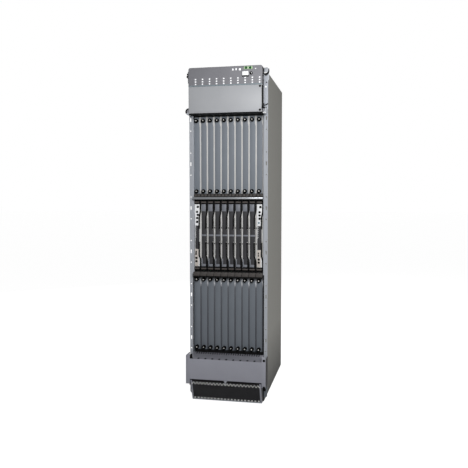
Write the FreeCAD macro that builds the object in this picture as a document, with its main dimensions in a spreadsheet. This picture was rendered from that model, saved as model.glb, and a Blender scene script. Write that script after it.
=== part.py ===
import FreeCAD, Part
import math
import os
import Sketcher

# Ethernet router: a 45-unit rack chassis that holds two cages of line cards and, between them, a cage of
# fabric boards with ejector levers. X runs to the right seen from the front, the front faces -Y, Z is up.
# The origin is the middle of the footprint on the floor. All sizes are millimetres.

CARD_COUNT = 10
FABRIC_COUNT = 8
MODULES_PER_ROW = 9
RACK_HOLES = 15
RACK_BOLT_ROWS = (2, 12)
RACK_SLOTS = 7
FANS_ACROSS = 2
GRILLE_COLUMNS = 10
GRILLE_ROWS = 3
VENT_ROWS = 5
INLETS_PER_ROW = 4
PORTS_PER_END = 3

# Sides of the holes and knobs that repeat many times
SQUARE_IN_ROUND = 0.7
PORT_SIDES = 6
KNOB_SIDES = 6
BARREL_SIDES = 12
FAN_SIDES = 10
BOSS_SIDES = 4

SIZES = [
    ("total_depth", 919.5, "front of the lower cover to the rear edge"),
    ("front_overhang", 86.0, "how far the top box and the lower cover stand in front of the flanges"),
    ("side_wall", 6.6, "double-skinned side panel"),
    ("top_sheet", 3.25, "top panel"),
    ("base_sheet", 12.0, "base pan"),
    ("flange_width", 482.6, "outer edge to outer edge of the rack flanges"),
    ("flange_sheet", 3.0, "flange thickness"),
    ("flange_foot", 25.0, "floor to the lower end of a flange"),
    ("flange_corner", 8.0, "cut corner at the lower end of a flange"),
    ("hole_span", 465.1, "left to right rack holes"),
    ("hole_pitch", 133.35, "three rack units between round holes"),
    ("hole_radius", 3.5, "rack hole"),
    ("first_hole", 40.9, "floor to the lowest round hole"),
    ("slot_length", 22.0, "end to end of a rack slot"),
    ("base_bay", 299.0, "floor to the lower card cage"),
    ("card_height", 452.0, "line card cage"),
    ("manager_height", 40.0, "shelf with a cable manager between two cages"),
    ("board_height", 430.0, "centre cage"),
    ("top_shelf", 21.0, "shelf over the upper cage"),
    ("low_shelf", 20.0, "shelf under the lower cage"),
    ("tray_bay", 156.0, "upper fan tray bay"),
    ("craft_height", 110.25, "craft interface box"),
    ("craft_corner", 12.0, "rounded top corners of the craft interface"),
    ("card_pitch", 43.0, "card to card"),
    ("plate_gap", 0.6, "between two faceplates"),
    ("card_recess", 21.0, "flange front to the plated plate of a card"),
    ("plate_sheet", 3.0, "plated plate of a card"),
    ("face_proud", 3.0, "painted face in front of the plated plate"),
    ("face_width", 34.4, "painted face of a card"),
    ("knob_radius", 12.0, "captive knob"),
    ("knob_length", 20.0, "captive knob"),
    ("knob_inset", 14.8, "end of the card to the centre of a knob"),
    ("knob_shift", 2.0, "middle of the painted face to the knobs, to the left"),
    ("carrier_sheet", 2.0, "circuit board or filler sheet of a card"),
    ("carrier_left", 13.0, "left edge of the card's cell to its carrier"),
    ("card_depth", 514.0, "length of the carrier"),
    ("groove_depth", 4.5, "guide groove in a shelf"),
    ("slide_play", 0.5, "clearance of what slides"),
    ("cover_left", 2.0, "left edge of the cell to the narrow part of a board's cover"),
    ("cover_inset", 24.0, "end of the board to the cover"),
    ("ridge_height", 15.0, "light bar across the middle of a board"),
    ("ridge_proud", 1.5, "light bar in front of the cover"),
    ("axle_proud", 9.0, "plated plate to the lever axle"),
    ("axle_inset", 11.5, "end of the board to the lever axle"),
    ("barrel_radius", 7.8, "lever barrel"),
    ("barrel_left", 1.2, "left edge of the cell to the barrel"),
    ("clip_left", 12.0, "left edge of the cell to the clip that holds the barrel"),
    ("clip_width", 12.0, "clip that holds the barrel"),
    ("clip_wall", 1.6, "clip above and below the barrel"),
    ("clip_nose", 3.0, "axle to the front of the clip"),
    ("barrel_play", 0.08, "lever barrel in its clip"),
    ("bar_right", 42.0, "left edge of the cell to the outer side of the lever bar"),
    ("bar_width", 8.2, "lever bar"),
    ("bar_thickness", 7.5, "lever bar"),
    ("bar_behind", 6.5, "axle to the back of the lever bar"),
    ("bend_start", 56.0, "axle to the bend of the lever"),
    ("bend_length", 20.0, "bend of the lever"),
    ("bend_shift", 8.0, "side step of the lever"),
    ("lever_length", 163.0, "axle to the tip of the lever"),
    ("tip_gap", 2.0, "tip of the lever to the wide middle of the cover"),
    ("grip_height", 14.0, "thumb pad at the tip"),
    ("grip_proud", 3.0, "thumb pad in front of the bar"),
    ("port_depth", 2.0, "shallow recess for a port"),
    ("port_radius", 5.0, "round port of a control board"),
    ("port_pitch", 21.0, "between round ports"),
    ("manager_reach", 46.0, "cable manager in front of its shelf"),
    ("manager_sheet", 2.0, "cable manager sheet"),
    ("manager_lip", 13.0, "front lip of a cable manager"),
    ("manager_play", 1.0, "cable manager above and below the cards"),
    ("finger_sheet", 2.5, "comb finger of a cable manager"),
    ("finger_reach", 26.0, "comb finger of a cable manager"),
    ("midplane_sheet", 10.0, "midplane"),
    ("cover_sheet", 2.5, "sheet of the tray covers"),
    ("tray_height", 64.0, "fan deck of a tray"),
    ("tray_depth", 470.0, "fan deck behind the flanges"),
    ("fan_radius", 88.0, "fan opening"),
    ("fan_hub", 36.0, "fan hub"),
    ("fan_spoke", 9.0, "fan spoke"),
    ("rail_reach", 12.0, "tray rail on a side panel"),
    ("rail_height", 8.0, "tray rail on a side panel"),
    ("low_cover_width", 490.0, "lower cover across its ears"),
    ("low_cover_top", 262.5, "fold between the front and the slope of the lower cover"),
    ("low_cover_slope", 285.0, "rear edge of the slope"),
    ("low_cover_foot", 138.0, "lower edge of the lower cover"),
    ("ear_width", 25.0, "ear at each end of the lower cover"),
    ("ear_top", 297.0, "floor to the top of an ear"),
    ("ear_foot", 108.0, "floor to the bottom of an ear"),
    ("ear_corner", 15.0, "cut corner of an ear"),
    ("cheek_sheet", 2.5, "side plate behind an ear"),
    ("front_gap", 0.6, "covers in front of the flanges"),
    ("grille_width", 432.0, "intake grille"),
    ("grille_top", 132.0, "upper edge of the intake grille"),
    ("grille_set_back", 48.0, "how far the grille leans back"),
    ("grille_sheet", 3.0, "intake grille"),
    ("grille_rim", 9.0, "frame of the intake grille"),
    ("grille_bar", 5.0, "bar between two gaps"),
    ("bracket_reach", 26.0, "bracket beside the top box"),
    ("bracket_waist", 18.0, "narrow part of a bracket"),
    ("bracket_height", 270.0, "bracket"),
    ("bracket_wide", 70.0, "wide part of a bracket"),
    ("bracket_sheet", 4.0, "bracket"),
    ("hook_radius", 20.0, "rounded hook at the top of a bracket"),
    ("hook_drop", 18.0, "top of the bracket to the middle of the hook"),
    ("hook_length", 24.0, "hook in front of the bracket"),
    ("bumper_radius", 19.0, "rounded bumper at the lower end of a bracket"),
    ("bumper_length", 78.0, "bumper in front of the bracket"),
    ("rear_sheet", 4.0, "rear frame"),
    ("rear_inset", 8.0, "rear edge of the sides to the rear frame"),
    ("rear_shelf", 6.0, "shelf under a row of power modules"),
    ("module_pitch", 46.0, "power module to power module"),
    ("module_gap", 1.0, "between two power modules"),
    ("module_height", 400.0, "power module"),
    ("module_clearance", 15.0, "midplane to the power modules"),
    ("module_play", 0.5, "power module in its window"),
    ("low_modules", 305.0, "floor to the lower row of power modules"),
    ("high_modules", 1300.0, "floor to the upper row of power modules"),
    ("pull_height", 110.0, "pull handle of a power module"),
    ("pull_width", 9.0, "pull handle of a power module"),
    ("pull_depth", 4.0, "pull handle of a power module"),
    ("inlet_height", 96.0, "power distribution module"),
    ("inlet_width", 96.0, "power distribution module"),
    ("inlet_proud", 4.0, "power distribution module behind the frame"),
    ("vent_height", 9.0, "exhaust slot"),
    ("vent_pitch", 40.0, "between exhaust slots"),
    ("vent_width", 380.0, "exhaust slot"),
]


class Size:
    """A number together with the sheet expression that gives it."""

    def __init__(self, value, text):
        self.value = value
        self.text = text

    def __add__(self, other):
        other = as_size(other)
        return Size(self.value + other.value, f"({self.text} + {other.text})")

    def __sub__(self, other):
        other = as_size(other)
        return Size(self.value - other.value, f"({self.text} - {other.text})")

    def __mul__(self, factor):
        return Size(self.value * factor, f"({self.text} * {factor})")

    def __neg__(self):
        return self * -1

    __rmul__ = __mul__


def as_size(number):
    return number if isinstance(number, Size) else Size(number, str(number))


def make_sheet(doc):
    """Writes the driving sizes to a sheet and returns them by name."""
    sheet = doc.addObject("Spreadsheet::Sheet", "sizes")
    named = {}
    for row, (alias, value, meaning) in enumerate(SIZES, start=1):
        sheet.set(f"A{row}", meaning)
        sheet.set(f"B{row}", str(value))
        sheet.setAlias(f"B{row}", alias)
        named[alias] = Size(value, f"sizes.{alias}")
    doc.recompute()
    return named


doc = FreeCAD.newDocument("ethernet_router")
size = make_sheet(doc)
X_AXIS = FreeCAD.Vector(1, 0, 0)
Y_AXIS = FreeCAD.Vector(0, 1, 0)
UPRIGHT = FreeCAD.Rotation()
ALONG_X = FreeCAD.Rotation(Y_AXIS, 90)
ALONG_FRONT = FreeCAD.Rotation(X_AXIS, 90)

# Levels from the floor up, and the planes from the front to the back
body_width = size["card_pitch"] * CARD_COUNT + size["side_wall"] * 2
first_cell = size["card_pitch"] * (-CARD_COUNT / 2)
lower_cage = size["base_bay"]
lower_manager = lower_cage + size["card_height"]
centre_cage = lower_manager + size["manager_height"]
upper_manager = centre_cage + size["board_height"]
upper_cage = upper_manager + size["manager_height"]
over_shelf = upper_cage + size["card_height"]
tray_floor = over_shelf + size["top_shelf"]
craft_floor = tray_floor + size["tray_bay"]
chassis_top = craft_floor + size["craft_height"]
wall_top = chassis_top - size["top_sheet"]
front_plane = size["total_depth"] * -0.5
rear_plane = size["total_depth"] * 0.5
flange_plane = front_plane + size["front_overhang"]
plate_plane = flange_plane + size["card_recess"]
shelf_front = plate_plane + size["plate_sheet"] + size["slide_play"]
midplane_front = plate_plane + size["plate_sheet"] + size["card_depth"] + size["slide_play"]
rear_frame_front = rear_plane - size["rear_inset"] - size["rear_sheet"]
module_front = midplane_front + size["midplane_sheet"] + size["module_clearance"]
module_rear = rear_plane - size["pull_depth"] - size["inlet_proud"]


def bind(item, prop, value):
    item.setExpression(prop, as_size(value).text)


def place(item, x=0, y=0, z=0, rotation=None):
    """Sets where an object stands, tied to the sheet."""
    if rotation:
        item.Placement = FreeCAD.Placement(FreeCAD.Vector(), rotation)
    for axis, value in zip("xyz", (x, y, z)):
        bind(item, f"Placement.Base.{axis}", value)


def new_body(label, x=0, y=0, z=0):
    body = doc.addObject("PartDesign::Body", label)
    body.Label = label
    place(body, x, y, z)
    return body


def block(body, name, corner, extent, kind="Additive"):
    """Adds or cuts a block given by its low corner and its extent."""
    item = body.newObject(f"PartDesign::{kind}Box", name)
    place(item, *corner)
    for prop, value in zip(("Length", "Width", "Height"), extent):
        bind(item, prop, value)
    return item


def rod(body, name, base, radius, height, rotation, kind="Additive"):
    """Adds or cuts a round bar that starts at base and runs along the turned axis."""
    item = body.newObject(f"PartDesign::{kind}Cylinder", name)
    place(item, *base, rotation=rotation)
    bind(item, "Radius", radius)
    bind(item, "Height", height)
    return item


def many_sided(body, name, base, sides, radius, height, rotation, kind="Additive"):
    """Adds or cuts a prism of few sides, for knobs and holes that repeat many times."""
    item = body.newObject(f"PartDesign::{kind}Prism", name)
    place(item, *base, rotation=rotation)
    item.Polygon = sides
    bind(item, "Circumradius", radius)
    bind(item, "Height", height)
    return item


def origin_part(body, role):
    return next(part for part in body.Origin.OriginFeatures if part.Role == role)


def outline(body, name, plane, offset, points):
    """Draws a closed outline on an origin plane, with every corner tied to the sheet."""
    sketch = body.newObject("Sketcher::SketchObject", name)
    sketch.AttachmentSupport = [(origin_part(body, plane), "")]
    sketch.MapMode = "FlatFace"
    bind(sketch, "AttachmentOffset.Base.z", offset)
    points = [(as_size(across), as_size(up)) for across, up in points]
    corners = [FreeCAD.Vector(across.value, up.value, 0) for across, up in points]
    count = len(corners)
    for index in range(count):
        sketch.addGeometry(Part.LineSegment(corners[index], corners[(index + 1) % count]))
    for index in range(count):
        sketch.addConstraint(Sketcher.Constraint("Coincident", index, 2, (index + 1) % count, 1))
    for index, corner in enumerate(points):
        for kind, value in zip(("DistanceX", "DistanceY"), corner):
            row = sketch.addConstraint(Sketcher.Constraint(kind, -1, 1, index, 1, value.value))
            bind(sketch, f"Constraints[{row}]", value)
    return sketch


def pad(body, name, plane, offset, points, length):
    """Adds the outline's solid, from the offset plane along its normal."""
    item = body.newObject("PartDesign::Pad", name)
    item.Profile = outline(body, f"{name}_outline", plane, offset, points)
    bind(item, "Length", length)
    return item


def repeat(body, name, originals, role, spacing, count):
    """Repeats features along an origin axis of the body."""
    item = body.newObject("PartDesign::LinearPattern", name)
    item.Originals = originals
    item.Direction = (origin_part(body, role), [""])
    item.Mode = "Spacing"
    bind(item, "Offset", spacing)
    item.Occurrences = count
    body.Tip = item
    return item


def group(label, members):
    """Several like solids that are one node."""
    item = doc.addObject("Part::Compound", label)
    item.Label = label
    item.Links = members
    return item


def cell_left(index):
    return first_cell + size["card_pitch"] * index


def card_plate(body, height):
    """The plated plate of a card."""
    edge = size["plate_gap"] * 0.5
    width = size["card_pitch"] - size["plate_gap"]
    block(body, "plate", (edge, 0, edge), (width, size["plate_sheet"], height - size["plate_gap"]))


def guided_carrier(body):
    """The circuit board of a centre card: its edges run in the guide grooves above and below."""
    edge = size["plate_gap"] * 0.5
    start = size["plate_sheet"] + size["slide_play"]
    lap = size["groove_depth"] - size["slide_play"]
    block(body, "tongue", (size["carrier_left"], size["plate_sheet"], edge),
          (size["carrier_sheet"], size["slide_play"], size["board_height"] - size["plate_gap"]))
    block(body, "carrier", (size["carrier_left"], start, -lap),
          (size["carrier_sheet"], size["card_depth"] - size["slide_play"], size["board_height"] + lap * 2))


def line_card(label, index, level):
    """A blank line card: painted face, plated edge strip and a captive knob at each end."""
    body = new_body(label, cell_left(index), plate_plane, level)
    height = size["card_height"]
    edge = size["plate_gap"] * 0.5
    card_plate(body, height)
    block(body, "carrier", (size["carrier_left"], size["plate_sheet"], size["slide_play"]),
          (size["carrier_sheet"], size["card_depth"], height - size["slide_play"] * 2))
    block(body, "face", (edge, -size["face_proud"], edge),
          (size["face_width"], size["face_proud"], height - size["plate_gap"]))
    middle = edge + size["face_width"] * 0.5 - size["knob_shift"]
    for name, knob_level in (("low_knob", size["knob_inset"]), ("high_knob", height - size["knob_inset"])):
        many_sided(body, name, (middle, -size["face_proud"], knob_level), KNOB_SIDES,
                   size["knob_radius"], size["knob_length"], ALONG_FRONT)
    return body


def cover_right():
    """The right side of a cover's wide part, just clear of the lever bar."""
    return size["bar_right"] - size["bar_width"] - size["slide_play"]


def waist_inset():
    """End of a centre board to the narrow part of its cover, which starts where the lever's bend ends."""
    return size["axle_inset"] + size["bend_start"] + size["bend_length"]


def board_cover(body):
    """The cover of a centre board: narrow beside the lever bars, wide at the ends and in the middle."""
    left = size["plate_gap"] * 0.5
    right = cover_right()
    waist_left = size["cover_left"]
    waist_right = right - size["bend_shift"]
    height = size["board_height"]
    bottom = size["cover_inset"]
    top = height - bottom
    low_waist = waist_inset()
    low_step = low_waist - size["bend_length"]
    low_tip = size["axle_inset"] + size["lever_length"] + size["tip_gap"]
    high_waist = height - low_waist
    high_step = height - low_step
    high_tip = height - low_tip
    points = [
        (left, bottom), (right, bottom), (right, low_step), (waist_right, low_waist),
        (waist_right, low_tip), (right, low_tip), (right, high_tip), (waist_right, high_tip),
        (waist_right, high_waist), (right, high_step), (right, top), (left, top),
        (left, high_step), (waist_left, high_waist), (waist_left, low_waist), (left, low_step),
    ]
    pad(body, "cover", "XZ_Plane", 0, points, size["face_proud"])


def barrel_clip(body, name, level):
    """The clip on a board that a lever's barrel snaps into: a block with a round bore open to the front."""
    bore = size["barrel_radius"] + size["barrel_play"]
    half = bore + size["clip_wall"]
    reach = size["axle_proud"] + size["clip_nose"]
    block(body, name, (size["clip_left"], -reach, level - half), (size["clip_width"], reach, half * 2))
    rod(body, f"{name}_bore", (size["clip_left"], -size["axle_proud"], level), bore, size["clip_width"],
        ALONG_X, "Subtractive")


def lever_levels():
    """The two ends of a centre board: name, level of the axle and which way the lever bar runs."""
    return (("low", size["axle_inset"], 1), ("high", size["board_height"] - size["axle_inset"], -1))


def fabric_board(label, index):
    """A switch fabric board with a waisted cover, a light cross bar and a clip for each lever."""
    body = new_body(label, cell_left(index), plate_plane, centre_cage)
    card_plate(body, size["board_height"])
    guided_carrier(body)
    board_cover(body)
    ridge_level = (size["board_height"] - size["ridge_height"]) * 0.5
    proud = size["face_proud"] + size["ridge_proud"]
    block(body, "ridge", (size["cover_left"], -proud, ridge_level),
          (cover_right() - size["cover_left"], proud, size["ridge_height"]))
    for name, level, _ in lever_levels():
        barrel_clip(body, f"{name}_clip", level)
    return body


def lever_bar(body, name, axle, level, way):
    """The bar of an ejector lever: it leaves the barrel, steps sideways and ends in a thumb pad."""
    outer = size["bar_right"]
    inner = outer - size["bar_width"]
    shift = size["bend_shift"]
    bend_end = size["bend_start"] + size["bend_length"]
    steps = [
        (inner, 0), (outer, 0), (outer, size["bend_start"]), (outer - shift, bend_end),
        (outer - shift, size["lever_length"]), (inner - shift, size["lever_length"]),
        (inner - shift, bend_end), (inner, size["bend_start"]),
    ]
    points = [(across, level + as_size(along) * way) for across, along in steps]
    back = axle + size["bar_behind"]
    pad(body, f"{name}_bar", "XZ_Plane", -back, points, size["bar_thickness"])
    tip = level + size["lever_length"] * way
    grip_low = tip - size["grip_height"] if way > 0 else tip
    grip_front = back - size["bar_thickness"] - size["grip_proud"]
    block(body, f"{name}_grip", (inner - shift, grip_front, grip_low),
          (size["bar_width"], size["grip_proud"], size["grip_height"]))


def lever(label, index, level, way):
    """An ejector lever: a barrel that turns in the board's clip and the bar at its right end."""
    axle_plane = plate_plane - size["axle_proud"]
    body = new_body(label, cell_left(index), axle_plane, centre_cage + level)
    many_sided(body, "barrel", (size["barrel_left"], 0, 0), BARREL_SIDES, size["barrel_radius"],
               size["bar_right"] - size["barrel_left"], ALONG_X)
    lever_bar(body, "lever", as_size(0), as_size(0), way)
    return body


def control_board(label, index):
    """A control board: round ports over and under a vented middle, its two levers fused to it."""
    body = new_body(label, cell_left(index), plate_plane, centre_cage)
    card_plate(body, size["board_height"])
    guided_carrier(body)
    board_cover(body)
    middle = (size["cover_left"] + cover_right() - size["bend_shift"]) * 0.5
    floor = size["port_depth"] - size["face_proud"]
    for row in range(PORTS_PER_END):
        inset = waist_inset() + size["port_pitch"] * row
        for name, level in (("low", inset), ("high", size["board_height"] - inset)):
            many_sided(body, f"{name}_port_{row}", (middle, floor, level), PORT_SIDES,
                       size["port_radius"], size["port_depth"], ALONG_FRONT, "Subtractive")
    axle = -size["axle_proud"]
    for name, level, way in lever_levels():
        block(body, f"{name}_post", (size["clip_left"], axle, level - size["clip_wall"]),
              (size["clip_width"], size["axle_proud"], size["clip_wall"] * 2))
        many_sided(body, f"{name}_barrel", (size["barrel_left"], axle, level), KNOB_SIDES,
                   size["barrel_radius"], size["bar_right"] - size["barrel_left"], ALONG_X)
        lever_bar(body, name, axle, level, way)
    return body


def side_panel(label, side):
    """A side panel with its rack flange folded out at the front and the rail for the lower fan tray."""
    body = new_body(label)
    half = body_width * 0.5
    wall_left = half - size["side_wall"] if side > 0 else -half
    depth = rear_plane - flange_plane
    block(body, "wall", (wall_left, flange_plane, 0), (size["side_wall"], depth, wall_top))
    outer = size["flange_width"] * (0.5 * side)
    root = half * side
    corner = size["flange_corner"] * side
    foot = size["flange_foot"]
    points = [(root, foot), (outer - corner, foot), (outer, foot + size["flange_corner"]),
              (outer, wall_top), (root, wall_top)]
    pad(body, "flange", "XZ_Plane", -(flange_plane + size["flange_sheet"]), points, size["flange_sheet"])
    rail_left = half - size["side_wall"] - size["rail_reach"] if side > 0 else size["side_wall"] - half
    rail_level = size["low_cover_foot"] - size["rail_height"]
    block(body, "rail", (rail_left, shelf_front, rail_level),
          (size["rail_reach"], size["tray_depth"], size["rail_height"]))
    rack_holes(body, size["hole_span"] * (0.5 * side))
    return body


def rack_holes(body, across):
    """Cuts the row of rack holes and slots in a flange. The bolted holes are round, the others square."""
    drill = size["flange_sheet"] * 2
    start = flange_plane + size["flange_sheet"] * 1.5
    half_hole = size["hole_radius"] * SQUARE_IN_ROUND
    hole = block(body, "rack_hole", (across - half_hole, start - drill, size["first_hole"] - half_hole),
                 (half_hole * 2, drill, half_hole * 2), "Subtractive")
    repeat(body, "rack_holes", [hole], "Z_Axis", size["hole_pitch"], RACK_HOLES)
    low_slot = size["first_hole"] + (size["hole_pitch"] - size["slot_length"]) * 0.5
    slot = block(body, "rack_slot", (across - size["hole_radius"], start - drill, low_slot),
                 (size["hole_radius"] * 2, drill, size["slot_length"]), "Subtractive")
    repeat(body, "rack_slots", [slot], "Z_Axis", size["hole_pitch"] * 2, RACK_SLOTS)
    for row in RACK_BOLT_ROWS:
        level = size["first_hole"] + size["hole_pitch"] * row
        rod(body, f"bolt_hole_{row}", (across, start, level), size["hole_radius"], drill,
            ALONG_FRONT, "Subtractive")


def top_panel(label):
    body = new_body(label, body_width * -0.5, flange_plane, wall_top)
    block(body, "sheet", (0, 0, 0), (body_width, rear_plane - flange_plane, size["top_sheet"]))
    return body


def base_pan(label):
    inside = body_width - size["side_wall"] * 2
    body = new_body(label, inside * -0.5, flange_plane, 0)
    block(body, "sheet", (0, 0, 0), (inside, rear_plane - flange_plane, size["base_sheet"]))
    return body


def guide_shelf(label, level, height, groove_level=None):
    """A shelf between two cages, with a row of guide grooves on the face towards the centre cage."""
    inside = body_width - size["side_wall"] * 2
    depth = midplane_front - shelf_front
    body = new_body(label, inside * -0.5, shelf_front, level)
    block(body, "shelf", (0, 0, 0), (inside, depth, height))
    if groove_level is not None:
        groove_width = size["carrier_sheet"] + size["slide_play"] * 2
        groove = block(body, "groove", (size["carrier_left"] - size["slide_play"], 0, groove_level),
                       (groove_width, depth, size["groove_depth"]), "Subtractive")
        repeat(body, "grooves", [groove], "X_Axis", size["card_pitch"], CARD_COUNT)
    return body


def card_guide_shelves(label):
    thick = size["manager_height"]
    shelves = [
        guide_shelf("under_shelf", lower_cage - size["low_shelf"], size["low_shelf"]),
        guide_shelf("lower_manager_shelf", lower_manager, thick, thick - size["groove_depth"]),
        guide_shelf("upper_manager_shelf", upper_manager, thick, as_size(0)),
        guide_shelf("over_shelf", over_shelf, size["top_shelf"]),
    ]
    return group(label, shelves)


def midplane(label):
    inside = body_width - size["side_wall"] * 2
    low = lower_cage - size["low_shelf"]
    body = new_body(label, inside * -0.5, midplane_front, low)
    block(body, "sheet", (0, 0, 0), (inside, size["midplane_sheet"], tray_floor - low))
    return body


def craft_interface(label):
    """The box with the status lamps at the top, its two upper corners rounded."""
    body = new_body(label, body_width * -0.5, front_plane, craft_floor)
    depth = flange_plane - front_plane
    block(body, "box", (0, 0, 0), (body_width, depth, size["craft_height"]))
    doc.recompute()
    upright = [f"Edge{number}" for number, edge in enumerate(body.Shape.Edges, start=1)
               if edge.BoundBox.YLength > depth.value * 0.9 and edge.BoundBox.ZMin > chassis_top.value - 1]
    corners = body.newObject("PartDesign::Fillet", "corners")
    corners.Base = (body.Tip if body.Tip.Name != corners.Name else corners.BaseFeature, upright)
    bind(corners, "Radius", size["craft_corner"])
    return body


def cable_manager(label, level, floor_inset, top_inset):
    """A trough in front of a shelf: floor, low front lip, high back, and a comb finger between two cards."""
    width = size["card_pitch"] * CARD_COUNT
    body = new_body(label, first_cell, shelf_front, level)
    sheet = size["manager_sheet"]
    low = floor_inset + size["manager_play"]
    high = size["manager_height"] - top_inset - size["manager_play"]
    front = -size["manager_reach"]
    lip = low + size["manager_lip"]
    points = [
        (front, low), (0, low), (0, high), (-sheet, high), (-sheet, low + sheet),
        (front + sheet, low + sheet), (front + sheet, lip), (front, lip),
    ]
    pad(body, "trough", "YZ_Plane", 0, points, width)
    finger_left = size["card_pitch"] - size["finger_sheet"] * 0.5
    finger_back = -sheet - size["finger_reach"]
    finger = block(body, "finger", (finger_left, finger_back, low + sheet),
                   (size["finger_sheet"], size["finger_reach"], high - low - sheet))
    repeat(body, "fingers", [finger], "X_Axis", size["card_pitch"], CARD_COUNT - 1)
    return body


def fan_deck(body, low, front):
    """The deck of a fan tray: round fan openings, each with a hub on a spoke."""
    width = body_width - size["side_wall"] * 2 - size["slide_play"] * 2
    back = shelf_front + size["tray_depth"]
    block(body, "deck", (width * -0.5, front, low), (width, back - front, size["tray_height"]))
    pitch_x = width * (1 / FANS_ACROSS)
    pitch_y = size["tray_depth"] * (1 / FANS_ACROSS)
    start_x = width * -0.5 + pitch_x * 0.5
    start_y = shelf_front + pitch_y * 0.5
    deep = size["tray_height"]
    spoke = size["fan_spoke"]
    for column in range(FANS_ACROSS):
        for row in range(FANS_ACROSS):
            x = start_x + pitch_x * column
            y = start_y + pitch_y * row
            tag = f"{column}{row}"
            many_sided(body, f"fan_opening_{tag}", (x, y, low), FAN_SIDES, size["fan_radius"], deep, UPRIGHT,
                       "Subtractive")
            block(body, f"spoke_{tag}", (x - size["fan_radius"], y - spoke * 0.5, low),
                  (size["fan_radius"] * 2, spoke, spoke))
            many_sided(body, f"hub_{tag}", (x, y, low), KNOB_SIDES, size["fan_hub"], deep, UPRIGHT)


def upper_fan_tray(label):
    """The upper fan tray: a plain box cover in front and the fan deck behind it."""
    body = new_body(label)
    gap = size["front_gap"]
    width = body_width - gap * 2
    low = tray_floor + size["slide_play"]
    high = craft_floor - size["slide_play"]
    back = flange_plane - gap
    block(body, "cover", (width * -0.5, front_plane, low), (width, back - front_plane, high - low))
    sheet = size["cover_sheet"]
    block(body, "cover_inside", (width * -0.5 + sheet, front_plane + sheet, low + sheet),
          (width - sheet * 2, back - front_plane, high - low - sheet * 2), "Subtractive")
    fan_deck(body, low, front_plane + sheet)
    return body


def lower_fan_tray(label):
    """The lower fan tray: a folded cover with a sloped top between two ears, and the fan deck behind."""
    body = new_body(label)
    sheet = size["cover_sheet"]
    half = size["low_cover_width"] * 0.5
    back = flange_plane - size["front_gap"]
    foot = size["low_cover_foot"]
    fold = size["low_cover_top"]
    slope = size["low_cover_slope"]
    points = [
        (front_plane, foot), (back, foot), (back, foot + sheet), (front_plane + sheet, foot + sheet),
        (front_plane + sheet, fold - sheet), (back, slope - sheet), (back, slope), (front_plane, fold),
    ]
    inner = half - size["ear_width"]
    pad(body, "cover", "YZ_Plane", -inner, points, inner * 2)
    shoulder = size["ear_top"] - size["ear_corner"]
    for name, side in (("left", -1), ("right", 1)):
        ear = [
            (inner * side, size["ear_foot"]), (half * side, size["ear_foot"]), (half * side, shoulder),
            ((half - size["ear_corner"]) * side, size["ear_top"]), (inner * side, size["ear_top"]),
        ]
        pad(body, f"{name}_ear", "XZ_Plane", -(front_plane + sheet), ear, sheet)
        cheek_left = half - size["cheek_sheet"] if side > 0 else -half
        block(body, f"{name}_cheek", (cheek_left, front_plane + sheet, size["ear_foot"]),
              (size["cheek_sheet"], back - front_plane - sheet, shoulder - size["ear_foot"]))
    fan_deck(body, foot + size["slide_play"], front_plane + sheet)
    return body


def intake_grille(label):
    """The air intake at the foot: a barred grille that leans back, on two side plates."""
    body = new_body(label)
    half = size["grille_width"] * 0.5
    sheet = size["grille_sheet"]
    top = size["grille_top"]
    toe = front_plane + size["grille_set_back"]
    points = [(toe, 0), (toe + sheet, 0), (front_plane + sheet, top), (front_plane, top)]
    pad(body, "panel", "YZ_Plane", -half, points, size["grille_width"])
    cheek = [(toe, 0), (flange_plane, 0), (flange_plane, top), (front_plane, top)]
    for name, offset in (("left_side", -half), ("right_side", half - sheet)):
        pad(body, name, "YZ_Plane", offset, cheek, sheet)
    rim = size["grille_rim"]
    pitch = (size["grille_width"] - rim * 2 + size["grille_bar"]) * (1 / GRILLE_COLUMNS)
    gap = pitch - size["grille_bar"]
    row_height = (top - rim * 2 - size["grille_bar"] * (GRILLE_ROWS - 1)) * (1 / GRILLE_ROWS)
    for row in range(GRILLE_ROWS):
        level = rim + (row_height + size["grille_bar"]) * row
        cut = block(body, f"gap_{row}", (rim - half, front_plane - sheet, level),
                    (gap, size["front_overhang"], row_height), "Subtractive")
        repeat(body, f"gaps_{row}", [cut], "X_Axis", pitch, GRILLE_COLUMNS)
    return body


def flange_bracket(label, side):
    """The stepped bracket on a flange beside the top box, with a rounded hook above and a bumper below."""
    body = new_body(label)
    inner = (body_width * 0.5 + size["front_gap"]) * side
    wide = inner + size["bracket_reach"] * side
    waist = inner + size["bracket_waist"] * side
    top = wall_top
    step = top - size["bracket_wide"]
    bottom = top - size["bracket_height"]
    points = [(inner, bottom), (waist, bottom), (waist, step), (wide, step), (wide, top), (inner, top)]
    pad(body, "plate", "XZ_Plane", -flange_plane, points, size["bracket_sheet"])
    bosses = (("hook", top - size["hook_drop"], size["hook_radius"], size["hook_length"]),
              ("bumper", bottom + size["bumper_radius"], size["bumper_radius"], size["bumper_length"]))
    for name, level, radius, length in bosses:
        bend = [(inner + radius * (side * math.cos(turn)), level + radius * math.sin(turn))
                for turn in (math.radians(step * 180 / BOSS_SIDES - 90) for step in range(BOSS_SIDES + 1))]
        pad(body, name, "XZ_Plane", size["bracket_sheet"] - flange_plane, bend, length)
    return body


def power_module(label, column, level):
    """A power supply module with a pull handle on its rear face."""
    row_width = size["module_pitch"] * MODULES_PER_ROW
    left = row_width * -0.5 + size["module_pitch"] * column + size["module_gap"] * 0.5
    body = new_body(label, left, module_front, level)
    width = size["module_pitch"] - size["module_gap"]
    depth = module_rear - module_front
    block(body, "case", (0, 0, 0), (width, depth, size["module_height"]))
    block(body, "pull", ((width - size["pull_width"]) * 0.5, depth, size["pull_height"] * 0.5),
          (size["pull_width"], size["pull_depth"], size["pull_height"]))
    return body


def power_modules(label):
    rows = (("low", size["low_modules"]), ("high", size["high_modules"]))
    return group(label, [power_module(f"{name}_module_{column + 1}", column, level)
                         for name, level in rows for column in range(MODULES_PER_ROW)])


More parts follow.
